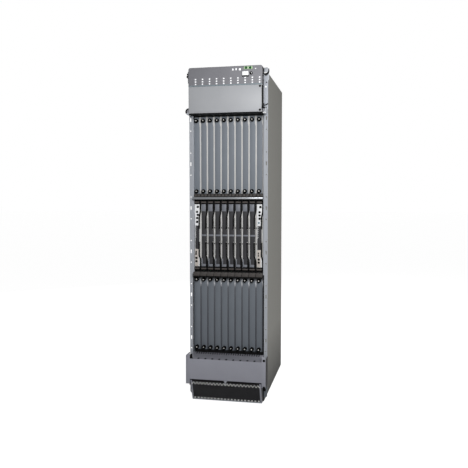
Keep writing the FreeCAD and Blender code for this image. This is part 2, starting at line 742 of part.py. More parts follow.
def rear_frame(label):
    """The rear frame: windows and shelves for the power modules, power inlets and exhaust slots."""
    body = new_body(label)
    inside = body_width - size["side_wall"] * 2
    left = inside * -0.5
    block(body, "sheet", (left, rear_frame_front, size["base_sheet"]),
          (inside, size["rear_sheet"], wall_top - size["base_sheet"]))
    play = size["module_play"]
    window = size["module_pitch"] * MODULES_PER_ROW + play * 2
    for name, level in (("low", size["low_modules"]), ("high", size["high_modules"])):
        block(body, f"{name}_window", (window * -0.5, rear_frame_front, level - play),
              (window, size["rear_sheet"], size["module_height"] + play * 2), "Subtractive")
        shelf_level = level - play - size["rear_shelf"]
        block(body, f"{name}_shelf", (left, module_front, shelf_level),
              (inside, rear_frame_front - module_front, size["rear_shelf"]))
    inlet_pitch = inside * (1 / INLETS_PER_ROW)
    inlet_left = left + (inlet_pitch - size["inlet_width"]) * 0.5
    low_inlets = size["low_modules"] + size["module_height"] + size["inlet_height"] * 0.5
    high_inlets = size["high_modules"] - size["inlet_height"] * 1.5
    for name, level in (("low_inlet", low_inlets), ("high_inlet", high_inlets)):
        inlet = block(body, name, (inlet_left, rear_frame_front + size["rear_sheet"], level),
                      (size["inlet_width"], size["inlet_proud"], size["inlet_height"]))
        repeat(body, f"{name}s", [inlet], "X_Axis", inlet_pitch, INLETS_PER_ROW)
    vent_left = size["vent_width"] * -0.5
    extent = (size["vent_width"], size["rear_sheet"], size["vent_height"])
    low_vents = size["base_sheet"] + size["vent_pitch"] * 0.5
    high_vents = size["high_modules"] + size["module_height"] + size["vent_pitch"] * 0.5
    for name, level in (("low_vent", low_vents), ("high_vent", high_vents)):
        vent = block(body, name, (vent_left, rear_frame_front, level), extent, "Subtractive")
        repeat(body, f"{name}s", [vent], "Z_Axis", size["vent_pitch"], VENT_ROWS)
    return body


def build_nodes():
    """Builds every node in the order in which the router goes together."""
    nodes = [
        base_pan("base_pan"), side_panel("left_side_panel", -1), side_panel("right_side_panel", 1),
        top_panel("top_panel"), card_guide_shelves("card_guide_shelves"), midplane("midplane"),
        rear_frame("rear_frame"), power_modules("power_supply_modules"), craft_interface("craft_interface"),
        group("flange_brackets", [flange_bracket("left_bracket", -1), flange_bracket("right_bracket", 1)]),
        group("cable_managers", [
            cable_manager("lower_trough", lower_manager, as_size(0), size["groove_depth"]),
            cable_manager("upper_trough", upper_manager, size["groove_depth"], as_size(0)),
        ]),
        intake_grille("intake_grille"), upper_fan_tray("upper_fan_tray"), lower_fan_tray("lower_fan_tray"),
        control_board("left_control_board", 0), control_board("right_control_board", CARD_COUNT - 1),
    ]
    for index in range(CARD_COUNT):
        nodes.append(line_card(f"lower_line_card_{index + 1:02d}", index, lower_cage))
        nodes.append(line_card(f"upper_line_card_{index + 1:02d}", index, upper_cage))
    for number in range(1, FABRIC_COUNT + 1):
        nodes.append(fabric_board(f"fabric_board_{number}", number))
        for name, level, way in lever_levels():
            nodes.append(lever(f"fabric_board_{number}_{name}_lever", number, level, way))
    return nodes


def check(nodes):
    """Stops if any object failed or any node has no valid solid."""
    for item in doc.Objects:
        if "Invalid" in item.State or "Error" in item.State:
            raise RuntimeError(f"{item.Label} failed: {item.State}")
    for node in nodes:
        if node.Shape.isNull() or not node.Shape.isValid() or not node.Shape.Solids:
            raise RuntimeError(f"{node.Label} has no valid solid")


nodes = build_nodes()
doc.recompute()
check(nodes)
os.makedirs("parts", exist_ok=True)
for node in nodes:
    node.Shape.exportStep(os.path.join("parts", f"{node.Label}.step"))
print(f"{len(nodes)} nodes written")
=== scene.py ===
import math

import bmesh
import bpy
from mathutils import Matrix, Vector


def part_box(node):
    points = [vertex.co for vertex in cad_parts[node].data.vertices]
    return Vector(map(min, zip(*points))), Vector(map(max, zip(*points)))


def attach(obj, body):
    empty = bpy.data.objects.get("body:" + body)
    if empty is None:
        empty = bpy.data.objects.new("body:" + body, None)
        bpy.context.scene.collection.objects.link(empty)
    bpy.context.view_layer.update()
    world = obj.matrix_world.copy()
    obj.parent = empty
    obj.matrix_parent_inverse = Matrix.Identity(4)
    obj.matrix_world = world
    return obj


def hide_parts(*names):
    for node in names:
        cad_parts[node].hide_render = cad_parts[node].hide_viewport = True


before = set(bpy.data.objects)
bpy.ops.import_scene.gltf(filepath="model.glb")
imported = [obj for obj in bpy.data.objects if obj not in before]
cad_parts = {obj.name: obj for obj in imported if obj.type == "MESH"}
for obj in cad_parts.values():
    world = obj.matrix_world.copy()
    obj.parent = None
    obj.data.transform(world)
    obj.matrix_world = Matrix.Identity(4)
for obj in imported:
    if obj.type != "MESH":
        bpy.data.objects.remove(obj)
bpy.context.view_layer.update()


# Side panels. Each is a double-skinned steel wall whose rack flange, folded out in front, has round holes
# and slots. The wall is warm grey outside and darkens near the floor as painted shade. The flange is cool
# grey, with a darker foot and a black pad on it as painted shade under the lower fan tray's cover, and black
# as painted shade beside the lower cage. The inside is black as painted shade, with an edge in front in the
# flange's grey, darker slate as painted shade in the lower cage.

MM = 0.001


def linear(code):
    """An sRGB hex colour as linear red, green and blue with full alpha."""
    parts = [int(code[start:start + 2], 16) / 255 for start in (1, 3, 5)]
    return [part / 12.92 if part <= 0.04045 else ((part + 0.055) / 1.055) ** 2.4 for part in parts] + [1]


def add(tree, kind, inputs=None, **settings):
    """Adds a node, sets its properties and then its inputs, each one a value or an output to link."""
    node = tree.nodes.new(kind)
    for name, value in settings.items():
        setattr(node, name, value)
    for name, value in (inputs or {}).items():
        if isinstance(value, bpy.types.NodeSocket):
            tree.links.new(value, node.inputs[name])
        else:
            node.inputs[name].default_value = value
    return node


def per_metre(size):
    """How many repeats of a pattern that is so many millimetres wide fit in a metre."""
    return 1 / (size * MM)


def new_surface(name, **sockets):
    """A material with its shader's constant sockets set, given with its tree, shader and coordinates."""
    material = bpy.data.materials.new(name)
    material.use_nodes = True
    tree = material.node_tree
    shader = tree.nodes["Principled BSDF"]
    for socket, value in sockets.items():
        shader.inputs[socket.replace("_", " ")].default_value = value
    return material, tree, shader, add(tree, "ShaderNodeTexCoord").outputs["Object"]


def shade_between(tree, shader, amount, dark, light):
    """Links the shader's colour to a mix of two hex colours."""
    blend = add(tree, "ShaderNodeMix", {0: amount, 6: linear(dark), 7: linear(light)}, data_type="RGBA")
    tree.links.new(blend.outputs[2], shader.inputs["Base Color"])


def powder_coat(name, dark, light, gloss=0.42, shine=0.35):
    """Polyester powder baked on steel: an even satin colour, slightly cloudy, over a fine orange peel."""
    material, tree, shader, where = new_surface(name, Specular_IOR_Level=shine)
    cloud = add(tree, "ShaderNodeTexNoise", {"Vector": where, "Scale": per_metre(90), "Detail": 4.0})
    shade_between(tree, shader, cloud.outputs["Fac"], dark, light)
    wear = add(tree, "ShaderNodeMapRange", {"Value": cloud.outputs["Fac"], "To Min": gloss - 0.06,
                                            "To Max": gloss + 0.08})
    tree.links.new(wear.outputs["Result"], shader.inputs["Roughness"])
    # Real orange peel is about 2 mm wide; 4 mm still shows in the render
    peel = add(tree, "ShaderNodeTexNoise", {"Vector": where, "Scale": per_metre(4), "Detail": 2.0})
    bump = add(tree, "ShaderNodeBump", {"Height": peel.outputs["Fac"], "Strength": 0.12,
                                        "Distance": 0.3 * MM})
    tree.links.new(bump.outputs["Normal"], shader.inputs["Normal"])
    return material


def shaded_towards_floor(coat, height, share):
    """Paints shade into a coat below a height, darkening it down to a share of its colour at the floor."""
    tree = coat.node_tree
    colour = tree.nodes["Principled BSDF"].inputs["Base Color"]
    level = add(tree, "ShaderNodeSeparateXYZ", {0: add(tree, "ShaderNodeTexCoord").outputs["Object"]})
    unshaded = add(tree, "ShaderNodeMapRange", {"Value": level.outputs["Z"], "From Max": height * MM,
                                             "To Min": share})
    floor_shade = add(tree, "ShaderNodeMix", {0: 1.0, 6: colour.links[0].from_socket, 7: unshaded.outputs["Result"]},
               data_type="RGBA", blend_type="MULTIPLY")
    tree.links.new(floor_shade.outputs[2], colour)


def softened(node, width):
    """A merged copy of a solid in millimetres, with its sharp edges rounded."""
    bm = bmesh.new()
    bm.from_mesh(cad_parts[node].data)
    bm.transform(Matrix.Scale(1 / MM, 4))
    bmesh.ops.remove_doubles(bm, verts=bm.verts, dist=0.01)
    bmesh.ops.dissolve_limit(bm, angle_limit=math.radians(1), verts=bm.verts, edges=bm.edges)
    sharp = [edge for edge in bm.edges if edge.is_manifold and edge.calc_face_angle(0) > math.radians(32)]
    bmesh.ops.bevel(bm, geom=sharp, offset=width, segments=2, profile=0.5, affect="EDGES", material=-1)
    for face in bm.faces:
        face.material_index = 0
    return bm


def extruded(bm, outline, axis, start, end, slot, bevel=0.0):
    """A prism along an axis. Its outline is given in the two other axes, in their own order."""
    place = "xyz".index(axis)
    rings = []
    for along in (start, end):
        spots = [list(pair[:place]) + [along] + list(pair[place:]) for pair in outline]
        rings.append([bm.verts.new(spot) for spot in spots])
    faces = [bm.faces.new(ring) for ring in rings]
    near, far = rings
    for index in range(len(outline)):
        after = (index + 1) % len(outline)
        faces.append(bm.faces.new([near[index], near[after], far[after], far[index]]))
    bmesh.ops.recalc_face_normals(bm, faces=faces)
    for face in faces:
        face.material_index = slot
    if bevel:
        edges = list({edge for face in faces for edge in face.edges})
        bmesh.ops.bevel(bm, geom=edges, offset=bevel, segments=2, profile=0.5, affect="EDGES",
                        clamp_overlap=True, material=-1)


def block(bm, low, high, slot, bevel=0.0):
    """A block between two corners, its edges rounded."""
    outline = [(low[0], low[2]), (high[0], low[2]), (high[0], high[2]), (low[0], high[2])]
    extruded(bm, outline, "y", low[1], high[1], slot, bevel)


def turned(bm, centre, axis, profile, slot, sides=24):
    """A turned shape. Its profile is pairs of radius and distance along the axis, pole to pole or closed."""
    turn = {"x": Matrix.Rotation(math.pi / 2, 4, "Y"), "y": Matrix.Rotation(-math.pi / 2, 4, "X"),
            "z": Matrix.Identity(4)}[axis]
    place = Matrix.Translation(centre) @ turn
    rings = []
    for radius, along in profile:
        count = sides if radius else 1
        angles = [2 * math.pi * step / sides for step in range(count)]
        spots = [Vector((radius * math.cos(angle), radius * math.sin(angle), along)) for angle in angles]
        rings.append([bm.verts.new(place @ spot) for spot in spots])
    if len(rings[0]) > 1:
        rings.append(rings[0])
    faces = []
    for near, far in zip(rings, rings[1:]):
        for step in range(sides):
            after = (step + 1) % sides
            loop = [near[step % len(near)], near[after % len(near)],
                    far[after % len(far)], far[step % len(far)]]
            faces.append(bm.faces.new(list(dict.fromkeys(loop))))
    bmesh.ops.recalc_face_normals(bm, faces=faces)
    for face in faces:
        face.material_index = slot


def merge(bm, mesh, slot, shift=(0, 0, 0)):
    """Adds a mesh in millimetres to a piece, moved into place, in one of the piece's materials."""
    moved = mesh.copy()
    moved.transform(Matrix.Translation(shift))
    moved.polygons.foreach_set("material_index", [slot] * len(moved.polygons))
    bm.from_mesh(moved)
    bpy.data.meshes.remove(moved)


def as_mesh(bm, name):
    """A plain mesh of what has been built so far, still in millimetres."""
    mesh = bpy.data.meshes.new(name)
    bm.to_mesh(mesh)
    bm.free()
    return mesh


def finished(name, bm, finishes, body, node):
    """Turns a piece in millimetres into an object in metres that rides its body and stands for its node."""
    bm.transform(Matrix.Scale(MM, 4))
    mesh = as_mesh(bm, name)
    for finish in finishes:
        mesh.materials.append(finish)
    mesh.shade_smooth()
    mesh.set_sharp_from_angle(angle=math.radians(34))
    piece = bpy.data.objects.new(name, mesh)
    bpy.context.scene.collection.objects.link(piece)
    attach(piece, body)
    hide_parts(node)


def new_tree(name, inputs):
    """A node tree with named inputs beside the mesh that it works on. Gives it and its input sockets."""
    tree = bpy.data.node_groups.new(name, "GeometryNodeTree")
    for title, kind in {"Geometry": "Geometry", **inputs, "Finish": "Material"}.items():
        tree.interface.new_socket(title, in_out="INPUT", socket_type=f"NodeSocket{kind}")
    tree.interface.new_socket("Geometry", in_out="OUTPUT", socket_type="NodeSocketGeometry")
    return tree, add(tree, "NodeGroupInput").outputs


def close_tree(tree, sizes, shapes):
    """Ends a tree: what it instanced becomes real and takes the finish."""
    real = add(tree, "GeometryNodeRealizeInstances", {"Geometry": shapes})
    coated = add(tree, "GeometryNodeSetMaterial", {"Geometry": real.outputs[0], "Material": sizes["Finish"]})
    add(tree, "NodeGroupOutput", {"Geometry": coated.outputs[0]})


def grown(tree, source, finish, sizes):
    """Runs a tree on a mesh with the given sizes and returns the plain mesh that comes out."""
    holder = bpy.data.objects.new("holder", source)
    bpy.context.scene.collection.objects.link(holder)
    rule = holder.modifiers.new("rule", "NODES")
    rule.node_group = tree
    for item in tree.interface.items_tree:
        if item.in_out == "INPUT" and item.name in sizes:
            value = sizes[item.name]
            rule[item.identifier] = [float(part) for part in value] if isinstance(value, tuple) else value
        if item.in_out == "INPUT" and item.name == "Finish":
            rule[item.identifier] = finish
    mesh = bpy.data.meshes.new_from_object(holder.evaluated_get(bpy.context.evaluated_depsgraph_get()))
    holder.modifiers.remove(rule)
    bpy.data.objects.remove(holder)
    return mesh


# Rows: the tree repeats its mesh in columns and rows, each with its own step
rows_tree, row_sizes = new_tree("rows", {"Columns": "Int", "Rows": "Int", "Column step": "Vector",
                                         "Row step": "Vector"})
columns = add(rows_tree, "GeometryNodeMeshLine", {"Count": row_sizes["Columns"],
                                                  "Offset": row_sizes["Column step"]})
rows = add(rows_tree, "GeometryNodeMeshLine", {"Count": row_sizes["Rows"], "Offset": row_sizes["Row step"]})
spots = add(rows_tree, "GeometryNodeInstanceOnPoints", {"Points": columns.outputs[0],
                                                        "Instance": rows.outputs[0]})
spots = add(rows_tree, "GeometryNodeRealizeInstances", {"Geometry": spots.outputs[0]})
copies = add(rows_tree, "GeometryNodeInstanceOnPoints", {"Points": spots.outputs[0],
                                                         "Instance": row_sizes["Geometry"]})
close_tree(rows_tree, row_sizes, copies.outputs[0])


def in_rows(source, finish, columns, column_step, rows=1, row_step=(0, 0, 0)):
    """A mesh repeated in columns and rows."""
    return grown(rows_tree, source, finish, {"Columns": columns, "Rows": rows, "Column step": column_step,
                                             "Row step": row_step})


def screw_head(radius, height, axis, way):
    """A pan-head screw with a recessed drive, facing along one way of an axis."""
    bm = bmesh.new()
    profile = [(0, 0), (radius, 0), (radius, 0.55), (radius * 0.8, 1), (radius * 0.45, 1),
               (radius * 0.35, 0.4), (0, 0.4)]
    turned(bm, (0, 0, 0), axis, [(wide, rise * height * way) for wide, rise in profile], 0, sides=12)
    return as_mesh(bm, "screw_head")


# Drilled holes: the tree cuts a row of round holes, along y, into its mesh
holes_tree, hole_sizes = new_tree("drilled holes", {"Count": "Int", "First": "Vector", "Step": "Vector",
                                                    "Radius": "Float"})
line = add(holes_tree, "GeometryNodeMeshLine", {"Count": hole_sizes["Count"], "Offset": hole_sizes["Step"],
                                                "Start Location": hole_sizes["First"]})
drill = add(holes_tree, "GeometryNodeMeshCylinder", {"Vertices": 20, "Radius": hole_sizes["Radius"],
                                                     "Depth": 12.0})
drills = add(holes_tree, "GeometryNodeInstanceOnPoints", {"Points": line.outputs[0],
                                                          "Instance": drill.outputs[0],
                                                          "Rotation": (math.pi / 2, 0, 0)})
drills = add(holes_tree, "GeometryNodeRealizeInstances", {"Geometry": drills.outputs[0]})
cut = add(holes_tree, "GeometryNodeMeshBoolean", {"Mesh 1": hole_sizes["Geometry"],
                                                  "Mesh 2": drills.outputs[0], "Self Intersection": True},
          operation="DIFFERENCE", solver="EXACT")
close_tree(holes_tree, hole_sizes, cut.outputs[0])

wall_coat = powder_coat("warm grey powder-coated steel", "#7c7b76", "#868580", gloss=0.55, shine=0.15)
# Painted shade: the walls' coat darkens over its lowest part towards the floor
FLOOR_SHADE_HEIGHT, FLOOR_SHADE_SHARE = 370.0, 0.2
shaded_towards_floor(wall_coat, FLOOR_SHADE_HEIGHT, FLOOR_SHADE_SHARE)
flange_coat = powder_coat("cool grey powder-coated steel", "#a9adb4", "#b6bac1")
# Painted shade: black for the walls' inside, the flanges beside the lower cage, the pads on their feet and
# the shelves
inside_coat = powder_coat("steel coloured black as painted shade", "#161617", "#1e1e1f", shine=0.15)
# A darker copy of the cards' slate paint, painted shade: on the lower cards, the inner edge and the flanges'
# feet
lower_card_coat = powder_coat("dark slate powder-coated steel", "#6c7279", "#757b83")
FLANGE_SHEET, FLANGE_INNER = 3.0, 221.3
EDGE_BACK, FOOT_TOP, LOWER_CAGE_TOP, CAGES_TOP = -350.0, 104.0, 771.0, 1713.0
HOLE_COUNT, HOLE_ACROSS, HOLE_FIRST, HOLE_STEP, HOLE_RADIUS = 15, 232.55, 40.9, 133.35, 4.0
PAD_PROUD = 2.0
FOOT_SHADE_PADS = {-1: ((-241.0, 108.0), (-218.0, 136.0)), 1: ((219.0, 64.0), (233.0, 106.0))}
WALL_FACE, WALL_SCREW_RADIUS, WALL_SCREW_HEIGHT = 221.6, 5.0, 1.6
WALL_SCREW_PITCH, WALL_SCREW_ROWS, WALL_SCREW_LOWEST, WALL_SCREW_INSET = 230.0, 9, 78.0, 18.0
panel_finishes = [wall_coat, flange_coat, inside_coat, lower_card_coat]
OUTSIDE, FLANGE, INSIDE, SLATE = range(len(panel_finishes))
for node, side in (("left_side_panel", -1), ("right_side_panel", 1)):
    low, high = (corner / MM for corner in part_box(node))
    first_hole = (HOLE_ACROSS * side, low.y + FLANGE_SHEET / 2, HOLE_FIRST)
    holes = {"Count": HOLE_COUNT, "First": first_hole, "Step": (0, 0, HOLE_STEP), "Radius": HOLE_RADIUS}
    drilled = grown(holes_tree, as_mesh(softened(node, 0.7), "panel"), wall_coat, holes)
    panel = bmesh.new()
    panel.from_mesh(drilled)
    for place, way in (((0, EDGE_BACK, 0), (0, 1, 0)), ((0, 0, FOOT_TOP), (0, 0, 1)),
                       ((0, 0, LOWER_CAGE_TOP), (0, 0, 1)), ((0, 0, CAGES_TOP), (0, 0, 1)),
                       ((FLANGE_INNER * side, 0, 0), (1, 0, 0))):
        whole = panel.verts[:] + panel.edges[:] + panel.faces[:]
        bmesh.ops.bisect_plane(panel, geom=whole, plane_co=place, plane_no=way)
    for face in panel.faces:
        face.material_index = OUTSIDE
        middle = face.calc_center_median()
        in_lower_cage = middle.z < LOWER_CAGE_TOP
        # Painted shade: inner faces black, the inner edge slate in the lower cage, the flange black there and
        # slate at its foot
        if face.normal.x * side < -0.9:
            painted = middle.y < EDGE_BACK and middle.z < CAGES_TOP
            face.material_index = (SLATE if in_lower_cage else FLANGE) if painted else INSIDE
        elif middle.y < low.y + FLANGE_SHEET + 0.2:
            face.material_index = INSIDE if in_lower_cage and middle.x * side < FLANGE_INNER else FLANGE
            if middle.z < FOOT_TOP and middle.x * side > FLANGE_INNER:
                face.material_index = SLATE
    head = screw_head(WALL_SCREW_RADIUS, WALL_SCREW_HEIGHT, "x", side)
    rear_row = in_rows(head, wall_coat, 1, (0, 0, 0), WALL_SCREW_ROWS, (0, 0, WALL_SCREW_PITCH))
    merge(panel, rear_row, OUTSIDE, (WALL_FACE * side, high.y - WALL_SCREW_INSET, WALL_SCREW_LOWEST))
    # A black pad on each flange's foot is painted shade under the lower fan tray's cover
    near, far = FOOT_SHADE_PADS[side]
    block(panel, (near[0], low.y - PAD_PROUD, near[1]), (far[0], low.y + 0.3, far[1]), INSIDE, 0.8)
    finished(f"{node}_sheet", panel, panel_finishes, "chassis", node)


# Top panel and base pan. The top is one steel sheet screwed down along its edges, the base a folded pan
# that carries the chassis on the floor. Both have the warm coat of the sides.

low, high = (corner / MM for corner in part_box("top_panel"))
TOP_SCREW_INSET, TOP_SCREW_ROWS = 14.0, 5
top_sheet = softened("top_panel", 0.8)
across = high.x - low.x - TOP_SCREW_INSET * 2
along = (high.y - low.y - TOP_SCREW_INSET * 2) / (TOP_SCREW_ROWS - 1)
head = screw_head(WALL_SCREW_RADIUS, WALL_SCREW_HEIGHT, "z", 1)
heads = in_rows(head, wall_coat, 2, (across, 0, 0), TOP_SCREW_ROWS, (0, along, 0))
merge(top_sheet, heads, 0, (low.x + TOP_SCREW_INSET, low.y + TOP_SCREW_INSET, high.z))
finished("top_sheet", top_sheet, [wall_coat], "chassis", "top_panel")
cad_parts["base_pan"].material_slots[0].material = wall_coat


# Card guide shelves and midplane. The shelves are steel, black as painted shade, with a groove for each
# centre board. The midplane is a thick laminate that every board plugs into, with a row of connector blocks
# for each card.


def plated_steel(name, dark, light, rough=0.36, run="Y", metal=1.0):
    """Plated sheet: a pale grey metal with fine marks along the way it was rolled, duller with less metal."""
    material, tree, shader, where = new_surface(name, Metallic=metal)
    stretch = [0.06 if axis == run else 1.0 for axis in "XYZ"]
    rolled = add(tree, "ShaderNodeMapping", {"Vector": where, "Scale": stretch})
    # Rolling marks are under 1 mm wide; 3 mm still shows in the render
    marks = add(tree, "ShaderNodeTexNoise", {"Vector": rolled.outputs[0], "Scale": per_metre(3),
                                             "Detail": 3.0})
    shade_between(tree, shader, marks.outputs["Fac"], dark, light)
    wear = add(tree, "ShaderNodeMapRange", {"Value": marks.outputs["Fac"], "To Min": rough - 0.08,
                                            "To Max": rough + 0.1})
    tree.links.new(wear.outputs["Result"], shader.inputs["Roughness"])
    return material


def laminate(name, mask, copper, axes):
    """Glass-epoxy board under solder mask: deep green, glossy, with paler lines where the copper runs."""
    material, tree, shader, where = new_surface(name, Roughness=0.3)
    apart = add(tree, "ShaderNodeSeparateXYZ", {"Vector": where})
    flat = add(tree, "ShaderNodeCombineXYZ", {"X": apart.outputs[axes[0]], "Y": apart.outputs[axes[1]]})
    # Copper runs are under 1 mm wide; the ones drawn here are about 3 mm, so that they show
    runs = add(tree, "ShaderNodeTexBrick", {"Vector": flat.outputs[0], "Scale": per_metre(40),
                                            "Mortar Size": 0.03, "Mortar": linear(copper),
                                            "Color1": linear(mask), "Color2": linear(mask)})
    tree.links.new(runs.outputs["Color"], shader.inputs["Base Color"])
    bump = add(tree, "ShaderNodeBump", {"Height": runs.outputs["Fac"], "Strength": 0.2, "Distance": 0.2 * MM})
    tree.links.new(bump.outputs["Normal"], shader.inputs["Normal"])
    return material


def moulded_nylon(name, dark, light, rough=0.5, shine=0.22):
    """Glass-filled nylon as it leaves the mould: satin, with a fine spark-eroded grain."""
    material, tree, shader, where = new_surface(name, Specular_IOR_Level=shine)
    # Mould grain is about 0.3 mm wide; 2 mm still shows in the render
    grain = add(tree, "ShaderNodeTexNoise", {"Vector": where, "Scale": per_metre(2), "Detail": 2.0})
    shade_between(tree, shader, grain.outputs["Fac"], dark, light)
    wear = add(tree, "ShaderNodeMapRange", {"Value": grain.outputs["Fac"], "To Min": rough - 0.1,
                                            "To Max": rough + 0.1})
    tree.links.new(wear.outputs["Result"], shader.inputs["Roughness"])
    bump = add(tree, "ShaderNodeBump", {"Height": grain.outputs["Fac"], "Strength": 0.15,
                                        "Distance": 0.2 * MM})
    tree.links.new(bump.outputs["Normal"], shader.inputs["Normal"])
    return material


zinc = plated_steel("zinc-plated steel", "#8d9093", "#a9abac")
black_nylon = moulded_nylon("black glass-filled nylon", "#070708", "#0e0e0f", shine=0.12)
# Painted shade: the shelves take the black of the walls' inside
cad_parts["card_guide_shelves"].material_slots[0].material = inside_coat
CARDS, CARD_PITCH = 10, 43.0
CONNECTOR_ROWS, CONNECTOR_RISE, CONNECTOR_INSET, CONNECTOR_LOWEST = 12, 118.0, 24.0, 72.0
low, _ = (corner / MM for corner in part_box("midplane"))
cage_left = low.x
midplane_board = softened("midplane", 0.4)
connector = bmesh.new()
block(connector, (-7, -12, -40), (7, 0, 40), 0, 1.0)
connectors = in_rows(as_mesh(connector, "connector"), black_nylon, CARDS, (CARD_PITCH, 0, 0),
                     CONNECTOR_ROWS, (0, 0, CONNECTOR_RISE))
merge(midplane_board, connectors, 1, (low.x + CONNECTOR_INSET, low.y, low.z + CONNECTOR_LOWEST))
midplane_laminate = laminate("midplane laminate", "#12432c", "#2c6a48", ("X", "Z"))
midplane_finishes = [midplane_laminate, black_nylon]
finished("midplane_board", midplane_board, midplane_finishes, "chassis", "midplane")


# Rear frame and power inlets. A folded steel frame closes the back: two windows for the power modules, air
# slots above and below with wire screens behind them, and eight inlet covers with switches and studs.

# Honeycomb: the tree shifts every second row of a grid, so that its triangles are even, takes the dual mesh,
# which has six-sided cells, and draws the edges of the cells as wire
honey_tree, honey = new_tree("honeycomb", {"Columns": "Int", "Rows": "Int", "Pitch": "Float",
                                           "Wire": "Float"})
wide = add(honey_tree, "ShaderNodeMath", {0: honey["Columns"], 1: honey["Pitch"]}, operation="MULTIPLY")
tall = add(honey_tree, "ShaderNodeMath", {0: honey["Rows"], 1: honey["Pitch"]}, operation="MULTIPLY")
tall = add(honey_tree, "ShaderNodeMath", {0: tall.outputs[0], 1: math.sqrt(0.75)}, operation="MULTIPLY")
across_count = add(honey_tree, "ShaderNodeMath", {0: honey["Columns"], 1: 1}, operation="ADD")
up_count = add(honey_tree, "ShaderNodeMath", {0: honey["Rows"], 1: 1}, operation="ADD")
net = add(honey_tree, "GeometryNodeMeshGrid", {"Size X": wide.outputs[0], "Size Y": tall.outputs[0],
                                               "Vertices X": across_count.outputs[0],
                                               "Vertices Y": up_count.outputs[0]})
number = add(honey_tree, "GeometryNodeInputIndex").outputs[0]
row = add(honey_tree, "ShaderNodeMath", {0: number, 1: up_count.outputs[0]}, operation="MODULO")
odd = add(honey_tree, "ShaderNodeMath", {0: row.outputs[0], 1: 2.0}, operation="MODULO")
step = add(honey_tree, "ShaderNodeMath", {0: odd.outputs[0], 1: honey["Pitch"]}, operation="MULTIPLY")
step = add(honey_tree, "ShaderNodeMath", {0: step.outputs[0], 1: 0.5}, operation="MULTIPLY")
shift = add(honey_tree, "ShaderNodeCombineXYZ", {"X": step.outputs[0]})
net = add(honey_tree, "GeometryNodeSetPosition", {"Geometry": net.outputs["Mesh"],
                                                  "Offset": shift.outputs[0]})
net = add(honey_tree, "GeometryNodeTriangulate", {"Mesh": net.outputs[0]}, quad_method="SHORTEST_DIAGONAL")
cells = add(honey_tree, "GeometryNodeDualMesh", {"Mesh": net.outputs[0]})
lines = add(honey_tree, "GeometryNodeMeshToCurve", {"Mesh": cells.outputs[0]})
section = add(honey_tree, "GeometryNodeCurvePrimitiveCircle", {"Resolution": 4, "Radius": honey["Wire"]})
wires = add(honey_tree, "GeometryNodeCurveToMesh", {"Curve": lines.outputs[0],
                                                    "Profile Curve": section.outputs[0]})
close_tree(honey_tree, honey, wires.outputs[0])


def honeycomb(width, height, pitch, wire, finish):
    """A flat wire screen with six-sided openings, upright and centred, facing the front."""
    mesh = grown(honey_tree, bpy.data.meshes.new("screen"), finish,
                 {"Columns": round(width / pitch), "Rows": round(height / (pitch * math.sqrt(0.75))),
                  "Pitch": pitch, "Wire": wire})
    mesh.transform(Matrix.Rotation(math.pi / 2, 4, "X"))
    return mesh


brass = plated_steel("nickel-plated brass", "#9c8a58", "#b8a670")
REAR_PLANE = 451.75
VENT_WIDTH, VENT_FIELD, VENT_MIDDLES = 376.0, 168.0, (116.5, 1804.5)
VENT_PITCH, VENT_WIRE, VENT_SUNK = 12.0, 0.9, 7.0
REAR_SCREW_SPREAD, REAR_SCREW_ROWS, REAR_SCREW_PITCH, REAR_SCREW_LOWEST = 416.0, 16, 128.0, 34.0
INLET_COLUMNS, INLET_PITCH, INLET_FIRST = 4, 107.5, -161.25
INLET_ROWS, INLET_RISE, INLET_LOWEST = 2, 403.0, 801.0
INLET_PROUD, STUD_ACROSS, STUD_LEVELS, STUD_PLATE = 4.0, 22.0, (-22, 0, 22), 2.4
rear = softened("rear_frame", 0.6)
screen = honeycomb(VENT_WIDTH, VENT_FIELD, VENT_PITCH, VENT_WIRE, black_nylon)
for middle in VENT_MIDDLES:
    merge(rear, screen, 1, (0, REAR_PLANE - VENT_SUNK, middle))
rear_heads = in_rows(screw_head(4.0, 1.4, "y", 1), zinc, 2, (REAR_SCREW_SPREAD, 0, 0),
                     REAR_SCREW_ROWS, (0, 0, REAR_SCREW_PITCH))
merge(rear, rear_heads, 2, (-REAR_SCREW_SPREAD / 2, REAR_PLANE, REAR_SCREW_LOWEST))
switch = bmesh.new()
block(switch, (-34, 0, 12), (-4, 2.2, 34), 0, 1.0)
block(switch, (-29, 0, 16), (-9, 3.4, 24), 0, 1.2)
block(switch, (6, 0, -36), (38, STUD_PLATE, 36), 0, 1.6)
stud = bmesh.new()
stud_profile = [(0, 0), (7, 0), (7, 0.8), (3.4, 1.0), (3.4, 1.5), (0, 1.5)]
for level in STUD_LEVELS:
    turned(stud, (STUD_ACROSS, STUD_PLATE, level), "y", stud_profile, 0, 16)
inlet_grid = {"columns": INLET_COLUMNS, "column_step": (INLET_PITCH, 0, 0), "rows": INLET_ROWS,
              "row_step": (0, 0, INLET_RISE)}
inlet_origin = (INLET_FIRST, REAR_PLANE + INLET_PROUD, INLET_LOWEST)
merge(rear, in_rows(as_mesh(switch, "switch"), black_nylon, **inlet_grid), 1, inlet_origin)
merge(rear, in_rows(as_mesh(stud, "stud"), brass, **inlet_grid), 3, inlet_origin)
rear_finishes = [flange_coat, black_nylon, zinc, brass]
finished("rear_frame_sheet", rear, rear_finishes, "chassis", "rear_frame")


# Power supply modules. Two rows of nine slim plated cases that slide in from the back. Each shows a
# perforated rear face, a black pull, three green lamps and a captive screw.

